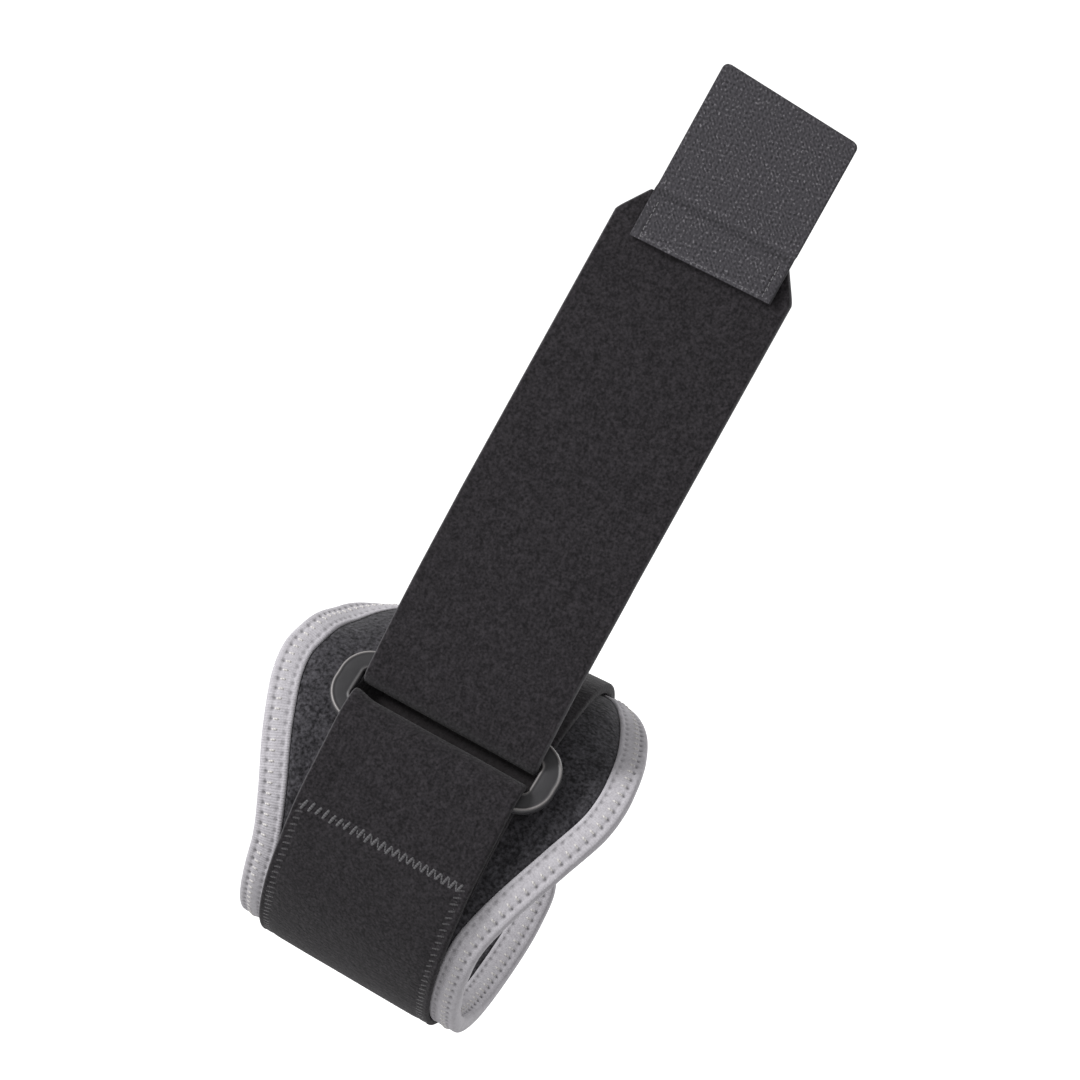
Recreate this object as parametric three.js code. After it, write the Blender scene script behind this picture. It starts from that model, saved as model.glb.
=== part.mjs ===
// Elbow brace: a padded panel with a bound edge lies round a slightly conical hollow.
// One strap, folded through a ring buckle, closes the loop and is pulled straight up.
// Millimetres. +X runs along the hollow to its wider end, -Y is the front, +Z is up.
// The origin is the middle of the hollow.

import * as THREE from 'three';
import { mergeVertices } from 'three/addons/utils/BufferGeometryUtils.js';

// The hollow and the panel
const HOLLOW_RADIUS = 38.7; // at the middle of the width
const FLARE = 0.036; // growth of every radius for each millimetre along +X
const PANEL_THICKNESS = 3.0;
const PANEL_PRESSED = 1.9; // thickness where the binding presses it
const PANEL_RAMP = 1.2; // width of the slope from pressed to full thickness
const GAP = 0.3; // between neighbouring pieces
const MID_RADIUS = HOLLOW_RADIUS + PANEL_THICKNESS / 2;
const GIRTH = 2 * Math.PI * MID_RADIUS;
const EDGE_STEPS = 62; // stations along each edge of the panel
const INNER_SHARES = [0.2, 0.1]; // columns inside the border, as shares of the width from either side
const WING_DROOP = { left: 3.4, right: 1.6 }; // how far the upper wings sink toward the hollow
const WING_FROM = { along: 10, side: 24 }; // where they begin to sink
const WING_OVER = { along: 16, side: 13 }; // over which length and width

// The edge binding
const TAPE_THICKNESS = 0.8;
const BINDING_FACE = 7.1; // width of each leg
const BINDING_ROUND = 1.1; // rounding of the folded edge

// The ring buckle
const RING_TURN = THREE.MathUtils.degToRad(30); // above the front
const RING_TILT = 0.035; // the ring's right end is lower, by this slope
const TILT_FADE = { from: 8, to: 28 }; // distance from the ring over which the strap loses that slope
const RING_LENGTH = 58;
const RING_CORNER = 7.0;
const SLOT_LENGTH = 46.8;
const SLOT_WIDTH = 8.6;
const SLOT_CORNER = 1.5;
const BAR_WIDTH = 5.3;
const BAR_THICKNESS = 3.0;
const BAR_ROUND = 1.4;
const RING_LIFT = 5.8; // middle of the bars above the panel's middle
const CORNER_STEPS = 8;

// The strap
const STRAP_WIDTH = 46;
const STRAP_THICKNESS = 2.6;
const STRAP_PRESSED = 1.6; // thickness where it is drawn tight round the loop
const STRAP_EDGE = 0.6; // bevel along the edges
const STRAP_LEAN = 0.042; // sideways lean of the pulled length toward +X
const LEAN_BLEND = 45; // length over which the pulled strap takes that lean
const PULLED_LENGTH = 125.3; // from the upper fold to the strap's end
const SEWN_END = -28; // where the folded inner end stops
const SEWN_TAPER = 11; // length over which that end is thinned
const SEWN_THIN = 1.2; // its thickness at the very end
const LAY_ONE = PANEL_THICKNESS / 2 + GAP + STRAP_THICKNESS / 2; // strap straight on the panel
const LAY_TWO = LAY_ONE + STRAP_THICKNESS + GAP; // strap on its own folded end
const LAY_TAPE = PANEL_PRESSED / 2 + 2 * GAP + TAPE_THICKNESS + STRAP_THICKNESS / 2; // strap over the binding
const LAY_BELT = LAY_ONE + 0.25; // strap whose bevelled edges reach over the binding
const LAY_TIGHT = LAY_BELT - (STRAP_THICKNESS - STRAP_PRESSED) / 2; // the same underside, strap pressed thin
const LAY_BARE = (STRAP_THICKNESS - PANEL_THICKNESS) / 2 + 0.1; // strap straight on the hollow

// The hook tab
const TAB_WIDTH = 35.8;
const TAB_SHIFT = 1.0; // sewn on a little to the right of the strap's middle
const TAB_THICKNESS = 1.5;
const TAB_OVERLAP = 10.5;
const TAB_LENGTH = 42.6;
const TAB_FAN = { low: 0.046, high: -0.056 }; // slopes of its lower and upper ends
const TAB_STEP = 1.2; // the free part lies this much nearer the strap's middle

// Half widths of the panel by distance along the loop from the ring, upward counted as positive.
const PANEL_OUTLINE = [
  { along: -150.0, left: 8.0, right: 8.0 },
  { along: -149.0, left: 17.0, right: 16.5 },
  { along: -145.5, left: 24.5, right: 23.8 },
  { along: -139.0, left: 28.8, right: 27.8 },
  { along: -130.0, left: 30.2, right: 29.0 },
  { along: -110.0, left: 30.3, right: 29.1 },
  { along: -76.0, left: 30.3, right: 29.1 },
  { along: -50.0, left: 30.2, right: 29.0 },
  { along: -40.0, left: 30.7, right: 29.9 },
  { along: -30.0, left: 33.4, right: 33.0 },
  { along: -15.0, left: 39.4, right: 39.2 },
  { along: -3.0, left: 43.5, right: 43.6 },
  { along: 4.5, left: 44.5, right: 44.4 },
  { along: 12.0, left: 43.5, right: 43.7 },
  { along: 22.0, left: 42.0, right: 41.5 },
  { along: 35.0, left: 37.8, right: 36.8 },
  { along: 47.0, left: 31.0, right: 30.5 },
  { along: 57.0, left: 22.5, right: 22.0 },
  { along: 62.5, left: 14.5, right: 14.5 },
  { along: 64.6, left: 6.0, right: 6.0 },
];

// The strap's way round the loop after its first fold: distance from the ring, height of its middle over the
// panel's middle, sideways drift, thickness, and the number of steps from the row before.
const STRAP_WAY = [
  { along: -19.5, height: LAY_TWO, drift: -0.2, thick: STRAP_THICKNESS, steps: 1 },
  { along: -41.0, height: LAY_BELT, drift: -0.5, thick: STRAP_THICKNESS, steps: 12 },
  { along: -61.0, height: LAY_TIGHT, drift: -0.6, thick: STRAP_PRESSED, steps: 5 },
  { along: -110.0, height: LAY_TIGHT, drift: -0.6, thick: STRAP_PRESSED, steps: 12 },
  { along: -122.0, height: LAY_BELT, drift: -0.6, thick: STRAP_THICKNESS, steps: 3 },
  { along: -129.0, height: LAY_TAPE, drift: -0.6, thick: STRAP_THICKNESS, steps: 4 },
  { along: -151.0, height: LAY_TAPE, drift: -0.5, thick: STRAP_THICKNESS, steps: 6 },
  { along: -187.5, height: LAY_TAPE, drift: 0.0, thick: STRAP_THICKNESS, steps: 14 },
  { along: -222.0, height: LAY_TAPE, drift: 0.0, thick: STRAP_THICKNESS, steps: 8 },
  { along: -232.0, height: LAY_ONE, drift: 0.0, thick: STRAP_THICKNESS, steps: 4 },
];

// Half width of the strap by distance back from its free end.
const STRAP_TIP = [
  { back: 7.7, half: STRAP_WIDTH / 2 },
  { back: 6.4, half: 22.3 },
  { back: 1.0, half: 18.6 },
  { back: 0.0, half: 17.9 },
];

// A point on the loop: distance from the ring, sideways place, height over the panel's middle.
function onLoop(along, side, height) {
  const turn = RING_TURN + along / MID_RADIUS;
  const radius = MID_RADIUS + height + FLARE * side;
  return new THREE.Vector3(side, -radius * Math.cos(turn), radius * Math.sin(turn));
}

// A point in the ring's own plane: rise up the tangent, lift along the outward normal, with the ring's tilt.
function atRing(side, rise, lift) {
  const radius = MID_RADIUS + lift + FLARE * side;
  const tilted = rise - RING_TILT * side;
  const y = tilted * Math.sin(RING_TURN) - radius * Math.cos(RING_TURN);
  const z = tilted * Math.cos(RING_TURN) + radius * Math.sin(RING_TURN);
  return new THREE.Vector3(side, y, z);
}

function smooth(t) {
  const c = THREE.MathUtils.clamp(t, 0, 1);
  return c * c * (3 - 2 * c);
}

// A closed solid through rings of equal count. An open row of rings gets ladder caps at its ends.
function loft(rings, closed) {
  const count = rings[0].length;
  const positions = rings.flatMap((ring) => ring.flatMap((p) => [p.x, p.y, p.z]));
  const faces = [];
  const last = closed ? rings.length : rings.length - 1;
  for (let i = 0; i < last; i += 1) {
    const a = i * count;
    const b = ((i + 1) % rings.length) * count;
    for (let j = 0; j < count; j += 1) {
      const k = (j + 1) % count;
      faces.push(a + j, b + j, b + k, a + j, b + k, a + k);
    }
  }
  if (!closed) {
    const end = (rings.length - 1) * count;
    for (let j = 0; j < count / 2 - 1; j += 1) {
      const m = count - 1 - j;
      faces.push(j, j + 1, m - 1, j, m - 1, m);
      faces.push(end + j, end + m - 1, end + j + 1, end + j, end + m, end + m - 1);
    }
  }
  return closedGeometry(positions, faces);
}

// Puts the faces outward, by the sign of the enclosed volume.
function closedGeometry(positions, faces) {
  const corner = (i) => new THREE.Vector3().fromArray(positions, 3 * i);
  let volume = 0;
  for (let f = 0; f < faces.length; f += 3) {
    volume += corner(faces[f]).dot(corner(faces[f + 1]).cross(corner(faces[f + 2])));
  }
  if (volume < 0) {
    for (let f = 0; f < faces.length; f += 3) {
      [faces[f + 1], faces[f + 2]] = [faces[f + 2], faces[f + 1]];
    }
  }
  const geometry = new THREE.BufferGeometry();
  geometry.setAttribute('position', new THREE.Float32BufferAttribute(positions, 3));
  geometry.setIndex(faces);
  return mergeVertices(geometry, 1e-4);
}

function pieceOf(name, geometry, color, roughness) {
  geometry.computeVertexNormals();
  const material = new THREE.MeshStandardMaterial({ color, roughness, metalness: 0 });
  material.name = name;
  const mesh = new THREE.Mesh(geometry, material);
  mesh.name = name;
  return mesh;
}

// The panel's outline, laid flat: along and sideways, up the left edge and down the right one,
// with the direction that points into the panel.
function panelOutline() {
  const edge = (key, sign) => {
    const points = PANEL_OUTLINE.map((row) => new THREE.Vector3(row.along, sign * row[key], 0));
    return new THREE.CatmullRomCurve3(points).getSpacedPoints(EDGE_STEPS);
  };
  const points = [...edge('left', -1), ...edge('right', 1).reverse()];
  return points.map((point, i) => {
    const before = points[(i + points.length - 1) % points.length];
    const after = points[(i + 1) % points.length];
    const way = after.clone().sub(before).normalize();
    return { along: point.x, side: point.y, inAlong: -way.y, inSide: way.x };
  });
}

// A point on the panel: on the loop, but sunk toward the hollow in the two upper wings.
function onPanel(along, side, height) {
  const droop = side < 0 ? WING_DROOP.left : WING_DROOP.right;
  const upper = smooth((along - WING_FROM.along) / WING_OVER.along);
  const sunk = droop * upper * smooth((Math.abs(side) - WING_FROM.side) / WING_OVER.side);
  return onLoop(along, side, height - sunk);
}

// A section given by depth from the edge and height over the middle, placed at one outline station.
function edgeSection(station, section) {
  return section.map(([depth, height]) =>
    onPanel(station.along + depth * station.inAlong, station.side + depth * station.inSide, height)
  );
}

function bodyPanel(outline) {
  const full = PANEL_THICKNESS / 2;
  const pressed = PANEL_PRESSED / 2;
  const start = TAPE_THICKNESS + GAP;
  const end = BINDING_FACE + GAP;
  const section = [
    [end + PANEL_RAMP, full],
    [end, pressed],
    [start, pressed],
    [start, -pressed],
    [end, -pressed],
    [end + PANEL_RAMP, -full],
  ];
  const count = outline.length;
  const rings = [];
  for (let i = 0; i < count / 2; i += 1) {
    const a = outline[i];
    const b = outline[count - 1 - i];
    const depth = end + PANEL_RAMP;
    const column = (share, height) => {
      const along = THREE.MathUtils.lerp(a.along + depth * a.inAlong, b.along + depth * b.inAlong, share);
      const side = THREE.MathUtils.lerp(a.side + depth * a.inSide, b.side + depth * b.inSide, share);
      return onPanel(along, side, height);
    };
    const columns = (shares, height) => shares.map((share) => column(share, height));
    const near = [...INNER_SHARES].reverse();
    const far = INNER_SHARES.map((share) => 1 - share);
    rings.push([
      ...columns(INNER_SHARES, full),
      ...edgeSection(a, section),
      ...columns([...near, ...far], -full),
      ...edgeSection(b, section).reverse(),
      ...columns([...far].reverse(), full),
    ]);
  }
  return loft(rings, false);
}

function edgeBinding(outline) {
  const inner = PANEL_PRESSED / 2 + GAP;
  const outer = inner + TAPE_THICKNESS;
  const round = BINDING_ROUND;
  const leg = [
    [BINDING_FACE, inner],
    [BINDING_FACE, outer - 0.2],
    [BINDING_FACE - 0.3, outer],
    [round, outer],
    [round * 0.3, outer - round * 0.3],
    [0, outer - round],
  ];
  const mirrored = leg.map(([depth, height]) => [depth, -height]).reverse();
  const throat = [
    [TAPE_THICKNESS, -inner],
    [TAPE_THICKNESS, inner],
  ];
  const section = [...leg, ...mirrored, ...throat];
  return loft(outline.map((station) => edgeSection(station, section)), true);
}

// Corner points of the ring's outer edge and of its slot, paired, as sideways place and rise.
function ringBuckle() {
  const outerRise = SLOT_WIDTH / 2 + BAR_WIDTH - RING_CORNER;
  const outerSide = RING_LENGTH / 2 - RING_CORNER;
  const slotCentre = { side: SLOT_LENGTH / 2 - SLOT_CORNER, rise: SLOT_WIDTH / 2 - SLOT_CORNER };
  const rings = [];
  for (let corner = 0; corner < 4; corner += 1) {
    const sx = corner === 0 || corner === 3 ? 1 : -1;
    const sy = corner < 2 ? 1 : -1;
    for (let i = 0; i < CORNER_STEPS; i += 1) {
      const angle = (Math.PI / 2) * (corner + i / (CORNER_STEPS - 0.5));
      const c = Math.cos(angle);
      const s = Math.sin(angle);
      const outside = [sx * outerSide + RING_CORNER * c, sy * outerRise + RING_CORNER * s];
      const inside = [sx * slotCentre.side + SLOT_CORNER * c, sy * slotCentre.rise + SLOT_CORNER * s];
      rings.push(barSection(inside, outside));
    }
  }
  return loft(rings, true);
}

// A rounded bar section between a slot point and an outer point.
function barSection(inside, outside) {
  const middle = [(inside[0] + outside[0]) / 2, (inside[1] + outside[1]) / 2];
  const across = [outside[0] - inside[0], outside[1] - inside[1]];
  const half = Math.hypot(across[0], across[1]) / 2;
  const unit = [across[0] / (2 * half), across[1] / (2 * half)];
  const points = [];
  for (let k = 0; k < 16; k += 1) {
    const quarter = Math.floor(k / 4);
    const angle = (Math.PI / 2) * (quarter + (k % 4) / 3);
    const sw = quarter === 0 || quarter === 3 ? 1 : -1;
    const st = quarter < 2 ? 1 : -1;
    const w = sw * (half - BAR_ROUND) + BAR_ROUND * Math.cos(angle);
    const t = st * (BAR_THICKNESS / 2 - BAR_ROUND) + BAR_ROUND * Math.sin(angle);
    points.push(atRing(middle[0] + unit[0] * w, middle[1] + unit[1] * w, RING_LIFT + t));
  }
  return points;
}

// The sideways direction of a strap on the loop. Near the ring it has the ring's tilt.
function loopSide(along) {
  const turn = RING_TURN + along / MID_RADIUS;
  const away = Math.min(Math.abs(along), Math.abs(along + GIRTH));
  const tilt = RING_TILT * (1 - smooth((away - TILT_FADE.from) / (TILT_FADE.to - TILT_FADE.from)));
  const tangent = new THREE.Vector3(0, Math.sin(turn), Math.cos(turn));
  const side = new THREE.Vector3(1, -FLARE * Math.cos(turn), FLARE * Math.sin(turn));
  return side.addScaledVector(tangent, -tilt).normalize();
}

// Stations round a bar: centre rise, from and to angles in degrees, on the strap's middle line.
function foldStations(centre, from, to, steps) {
  const radius = BAR_THICKNESS / 2 + GAP + STRAP_THICKNESS / 2;
  const stations = [];
  for (let i = 0; i <= steps; i += 1) {
    const angle = THREE.MathUtils.degToRad(from + ((to - from) * i) / steps);
    const rise = centre + radius * Math.cos(angle);
    const lift = RING_LIFT + radius * Math.sin(angle);
    stations.push({ centre: atRing(0, rise, lift), side: loopSide(0), half: STRAP_WIDTH / 2 });
  }
  return stations;
}

function loopStation(along, height, drift) {
  return { centre: onLoop(along, drift, height), side: loopSide(along), half: STRAP_WIDTH / 2 };
}

// Height of the straight stretch between the panel's two ends, which touches the hollow in its middle.
function bareHeight(along) {
  const ends = PANEL_OUTLINE[0].along + PANEL_OUTLINE[PANEL_OUTLINE.length - 1].along - GIRTH;
  const turn = Math.abs(along - ends / 2) / MID_RADIUS;
  return turn < 1 ? (MID_RADIUS + LAY_BARE) / Math.cos(turn) - MID_RADIUS : Infinity;
}

// The pulled length, from the upper fold to the tapered end.
function pulledStation(base, up, half) {
  const blend = smooth(up / LEAN_BLEND);
  const shift = STRAP_LEAN * (up - LEAN_BLEND / 2);
  const early = STRAP_LEAN * up * blend * 0.5;
  const across = up < LEAN_BLEND ? early : shift;
  const straight = new THREE.Vector3(1, 0, -STRAP_LEAN).normalize();
  const centre = base.clone().add(new THREE.Vector3(across, 0, up));
  return { centre, side: loopSide(0).lerp(straight, blend).normalize(), half };
}

function strapStations() {
  const barCentre = SLOT_WIDTH / 2 + BAR_THICKNESS / 2;
  const barOutside = SLOT_WIDTH / 2 + BAR_WIDTH - BAR_THICKNESS / 2;
  const underBar = Math.asin(barCentre / (MID_RADIUS + LAY_ONE));
  const underAlong = underBar * MID_RADIUS;
  const tilt = THREE.MathUtils.radToDeg(underBar);
  const stations = [];
  for (let i = 0; i < 6; i += 1) {
    const along = SEWN_END + ((-underAlong - SEWN_END) * i) / 6;
    const thick = THREE.MathUtils.mapLinear(Math.min(along, SEWN_END + SEWN_TAPER), SEWN_END,
      SEWN_END + SEWN_TAPER, SEWN_THIN, STRAP_THICKNESS);
    stations.push({ ...loopStation(along, LAY_ONE - (STRAP_THICKNESS - thick) / 2, -0.2), thick });
  }
  stations.push(...foldStations(-barCentre, 270 + tilt, 450, 14));
  stations.push(...foldStations(-barOutside, 90, 121, 4));
  let before = STRAP_WAY[0];
  stations.push(loopStation(before.along, before.height, before.drift));
  STRAP_WAY.slice(1).forEach((row) => {
    for (let i = 1; i <= row.steps; i += 1) {
      const t = i / row.steps;
      const lerp = THREE.MathUtils.lerp;
      const along = lerp(before.along, row.along, t);
      const height = Math.min(lerp(before.height, row.height, smooth(t)), bareHeight(along));
      const thick = lerp(before.thick, row.thick, smooth(t));
      stations.push({ ...loopStation(along, height, lerp(before.drift, row.drift, t)), thick });
    }
    before = row;
  });
  const remaining = -GIRTH + underAlong - before.along;
  for (let i = 1; i <= 3; i += 1) {
    stations.push(loopStation(before.along + (remaining * i) / 3, LAY_ONE, 0));
  }
  const leave = 90 + THREE.MathUtils.radToDeg(RING_TURN);
  stations.push(...foldStations(barCentre, 270 - tilt, leave, 12));
  const base = stations[stations.length - 1].centre;
  const tipStart = PULLED_LENGTH - STRAP_TIP[0].back;
  for (let i = 1; i <= 16; i += 1) {
    stations.push(pulledStation(base, (tipStart * i) / 16, STRAP_WIDTH / 2));
  }
  STRAP_TIP.slice(1).forEach((row) => stations.push(pulledStation(base, PULLED_LENGTH - row.back, row.half)));
  return { stations, base };
}

// A bevelled flat section at one station, its thickness along the normal.
function flatSection(station, normal, thickness, bevel) {
  const place = (u, v) => station.centre.clone().addScaledVector(station.side, u).addScaledVector(normal, v);
  const w = station.half;
  const t = thickness / 2;
  return [
    place(-w + bevel, t),
    place(-w, t - bevel),
    place(-w, bevel - t),
    place(-w + bevel, -t),
    place(w - bevel, -t),
    place(w, bevel - t),
    place(w, t - bevel),
    place(w - bevel, t),
  ];
}

function strapSolid(stations) {
  const rings = stations.map((station, i) => {
    const before = stations[Math.max(i - 1, 0)].centre;
    const after = stations[Math.min(i + 1, stations.length - 1)].centre;
    const way = after.clone().sub(before).normalize();
    const normal = way.cross(station.side).normalize();
    const thick = station.thick ?? STRAP_THICKNESS;
    return flatSection(station, normal, thick, Math.min(STRAP_EDGE, thick / 3));
  });
  return loft(rings, false);
}

function hookTab(base) {
  const front = STRAP_THICKNESS / 2 + GAP + TAB_THICKNESS / 2;
  const start = PULLED_LENGTH - TAB_OVERLAP;
  const top = start + TAB_LENGTH;
  const half = TAB_WIDTH / 2;
  const rows = [
    { up: start, front, half },
    { up: PULLED_LENGTH + 0.7, front, half },
    { up: PULLED_LENGTH + 1.6, front: front - TAB_STEP / 2, half },
    { up: PULLED_LENGTH + 2.5, front: front - TAB_STEP, half },
    { up: top - 1.4, front: front - TAB_STEP, half },
    { up: top - 0.5, front: front - TAB_STEP, half: half - 0.5 },
    { up: top, front: front - TAB_STEP, half: half - 1.4 },
  ];
  const normal = new THREE.Vector3(0, 1, 0);
  const rings = rows.map((row) => {
    const station = pulledStation(base, row.up, row.half);
    const fan = THREE.MathUtils.mapLinear(row.up, start, top, TAB_FAN.low, TAB_FAN.high);
    station.centre.addScaledVector(station.side, TAB_SHIFT);
    station.side.addScaledVector(new THREE.Vector3(0, 0, 1), fan).normalize();
    station.centre.y -= row.front;
    return flatSection(station, normal, TAB_THICKNESS, 0.25);
  });
  return loft(rings, false);
}

const outline = panelOutline();
const { stations, base } = strapStations();
const brace = new THREE.Group();
brace.name = 'elbow_brace';
brace.add(pieceOf('body_panel', bodyPanel(outline), 0x3d3d41, 0.95));
brace.add(pieceOf('edge_binding', edgeBinding(outline), 0xb2b2b9, 0.85));
brace.add(pieceOf('ring_buckle', ringBuckle(), 0x58585c, 0.42));
brace.add(pieceOf('strap', strapSolid(stations), 0x302e30, 0.95));
brace.add(pieceOf('hook_tab', hookTab(base), 0x4b4b50, 0.8));

export default brace;
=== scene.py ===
"""Elbow brace with a pulled strap: its finished look, piece by piece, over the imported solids.

Inside the functions lengths are in millimetres, and a mesh becomes metres when it is made.
+X runs along the hollow to its wider end, -Y is the front and +Z is up.
"""
import math

import bmesh
import bpy
import numpy as np
from mathutils import Matrix, Vector


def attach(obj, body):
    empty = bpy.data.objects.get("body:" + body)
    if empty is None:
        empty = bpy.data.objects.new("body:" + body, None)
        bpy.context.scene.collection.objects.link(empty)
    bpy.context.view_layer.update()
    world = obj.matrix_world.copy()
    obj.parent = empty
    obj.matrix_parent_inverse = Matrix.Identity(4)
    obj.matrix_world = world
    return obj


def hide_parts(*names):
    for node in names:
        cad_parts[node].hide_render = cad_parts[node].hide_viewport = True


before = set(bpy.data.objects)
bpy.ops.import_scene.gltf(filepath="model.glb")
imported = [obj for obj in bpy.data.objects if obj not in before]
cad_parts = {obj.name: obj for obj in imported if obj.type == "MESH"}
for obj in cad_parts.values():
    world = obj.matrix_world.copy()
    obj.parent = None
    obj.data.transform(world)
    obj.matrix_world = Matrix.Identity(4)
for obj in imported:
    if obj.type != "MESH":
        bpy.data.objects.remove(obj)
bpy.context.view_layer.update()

bl_info = {
    "name": "Elbow Brace",
    "version": (1, 0, 0),
    "blender": (4, 5, 0),
    "location": "View3D > Sidebar > Brace",
    "description": "Builds a padded elbow brace with its binding, ring buckle, strap and hook tab",
    "category": "Add Mesh",
}

MM = 0.001

# The loop and the panel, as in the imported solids
RING_TURN = math.radians(30.0)
RING_UP = np.array([0.0, math.sin(RING_TURN), math.cos(RING_TURN)])
HOLLOW_RADIUS = 38.7
FLARE = 0.036
PANEL_THICKNESS = 3.0
PANEL_PRESSED = 1.9
GAP = 0.3
MID_RADIUS = HOLLOW_RADIUS + PANEL_THICKNESS / 2
GIRTH = 2 * math.pi * MID_RADIUS

# The panel's two upper wings sink toward the hollow: how far, from where and over which length and width
DROOP_LEFT = 3.4
DROOP_RIGHT = 1.6
DROOP_FROM_ALONG = 10.0
DROOP_FROM_SIDE = 24.0
DROOP_OVER_ALONG = 16.0
DROOP_OVER_SIDE = 13.0

# The edge binding
TAPE_THICKNESS = 0.8
BINDING_FACE = 7.1
BINDING_INNER = PANEL_PRESSED / 2 + GAP
BINDING_OUTER = BINDING_INNER + TAPE_THICKNESS

# The ring buckle, its ends a little rounder than the solid's
RING_TILT = 0.035
TILT_FROM = 8.0
TILT_TO = 28.0
RING_LENGTH = 58.0
RING_CORNER = 8.4
SLOT_LENGTH = 46.8
SLOT_WIDTH = 8.6
SLOT_CORNER = 1.5
BAR_WIDTH = 5.3
BAR_THICKNESS = 3.0
RING_LIFT = 5.8

# The strap
STRAP_WIDTH = 46.0
STRAP_THICKNESS = 2.6
STRAP_PRESSED = 1.6
STRAP_ROUND = 0.85
STRAP_LEAN = 0.042
LEAN_BLEND = 45.0
PULLED_LENGTH = 125.3
SEWN_END = -28.0
SEWN_TAPER = 11.0
SEWN_THIN = 1.2
BELT_SLACK = 0.25
BARE_SLACK = 0.1
LAY_ONE = PANEL_THICKNESS / 2 + GAP + STRAP_THICKNESS / 2
LAY_TWO = LAY_ONE + STRAP_THICKNESS + GAP
LAY_TAPE = PANEL_PRESSED / 2 + 2 * GAP + TAPE_THICKNESS + STRAP_THICKNESS / 2
LAY_BELT = LAY_ONE + BELT_SLACK
LAY_TIGHT = LAY_BELT - (STRAP_THICKNESS - STRAP_PRESSED) / 2
LAY_BARE = (STRAP_THICKNESS - PANEL_THICKNESS) / 2 + BARE_SLACK
FOLD_RADIUS = BAR_THICKNESS / 2 + GAP + STRAP_THICKNESS / 2

# The hook tab
TAB_WIDTH = 35.8
TAB_SHIFT = 1.0
TAB_THICKNESS = 1.5
TAB_OVERLAP = 10.5
TAB_LENGTH = 42.6
TAB_FAN_LOW = 0.046
TAB_FAN_HIGH = -0.056
TAB_STEP = 1.2
TAB_CORNER = 1.6

# Panel outline: distance along the loop from the ring, half width left, half width right
PANEL_OUTLINE = [
    (-150.0, 8.0, 8.0),
    (-149.0, 17.0, 16.5),
    (-145.5, 24.5, 23.8),
    (-139.0, 28.8, 27.8),
    (-130.0, 30.2, 29.0),
    (-110.0, 30.3, 29.1),
    (-76.0, 30.3, 29.1),
    (-50.0, 30.2, 29.0),
    (-40.0, 30.7, 29.9),
    (-30.0, 33.4, 33.0),
    (-15.0, 39.4, 39.2),
    (-3.0, 43.5, 43.6),
    (4.5, 44.5, 44.4),
    (12.0, 43.5, 43.7),
    (22.0, 42.0, 41.5),
    (35.0, 37.8, 36.8),
    (47.0, 31.0, 30.5),
    (57.0, 22.5, 22.0),
    (62.5, 14.5, 14.5),
    (64.6, 6.0, 6.0),
]

# The strap's way round the loop: distance from the ring, height of its middle, sideways drift, thickness
STRAP_WAY = [
    (-19.5, LAY_TWO, -0.2, STRAP_THICKNESS),
    (-41.0, LAY_BELT, -0.5, STRAP_THICKNESS),
    (-61.0, LAY_TIGHT, -0.6, STRAP_PRESSED),
    (-110.0, LAY_TIGHT, -0.6, STRAP_PRESSED),
    (-122.0, LAY_BELT, -0.6, STRAP_THICKNESS),
    (-129.0, LAY_TAPE, -0.6, STRAP_THICKNESS),
    (-151.0, LAY_TAPE, -0.5, STRAP_THICKNESS),
    (-187.5, LAY_TAPE, 0.0, STRAP_THICKNESS),
    (-222.0, LAY_TAPE, 0.0, STRAP_THICKNESS),
    (-232.0, LAY_ONE, 0.0, STRAP_THICKNESS),
]

# The strap's tapered end: distance back from the end, half width
STRAP_TIP = [(0.0, 17.9), (1.0, 18.6), (6.4, 22.3), (7.7, 23.0)]

# Seed of every random draw, and the least and most length of a ripple's waves in its sizes
SEED = 7
WAVE_SPREAD = (0.75, 1.35)


# Plain functions on arrays

def smooth(t):
    """3t^2 - 2t^3, with t held between 0 and 1."""
    c = np.clip(t, 0.0, 1.0)
    return c * c * (3.0 - 2.0 * c)


def ramp(x, start, over):
    """A smooth step up: 0 before start, 1 from start plus over on."""
    return smooth((x - start) / over)


def bell(x, centre, width):
    """exp(-((x - centre) / width)^2), a soft hump of height 1."""
    return np.exp(-(((x - centre) / width) ** 2))


def beat(x, pitch, width):
    """A soft hump of height 1 at every whole multiple of the pitch."""
    return bell((x + pitch / 2) % pitch, pitch / 2, width)


def unit(vectors):
    """Vectors divided by their own length."""
    return vectors / np.linalg.norm(vectors, axis=-1, keepdims=True)


def joined(*columns):
    """Points from separate coordinate arrays, spread to one shape."""
    return np.stack(np.broadcast_arrays(*columns), axis=-1)


def on_loop(along, side, height):
    """A point on the slightly conical loop.

    Its angle is the ring's angle plus along over the middle radius, and its radius is the middle radius
    plus the height plus the flare times the sideways place.
    """
    turn = RING_TURN + along / MID_RADIUS
    radius = MID_RADIUS + height + FLARE * side
    return joined(side, -radius * np.cos(turn), radius * np.sin(turn))


def on_panel(along, side, height):
    """A point on the panel: on the loop, but sunk toward the hollow in the two upper wings by smooth
    steps."""
    upper = ramp(along, DROOP_FROM_ALONG, DROOP_OVER_ALONG)
    outer = ramp(np.abs(side), DROOP_FROM_SIDE, DROOP_OVER_SIDE)
    droop = np.where(side < 0.0, DROOP_LEFT, DROOP_RIGHT)
    return on_loop(along, side, height - droop * upper * outer)


def loop_normal(along):
    """The outward direction on the loop: minus the cosine of the angle along Y, its sine along Z."""
    turn = RING_TURN + np.asarray(along) / MID_RADIUS
    return joined(0.0 * turn, -np.cos(turn), np.sin(turn))


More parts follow.
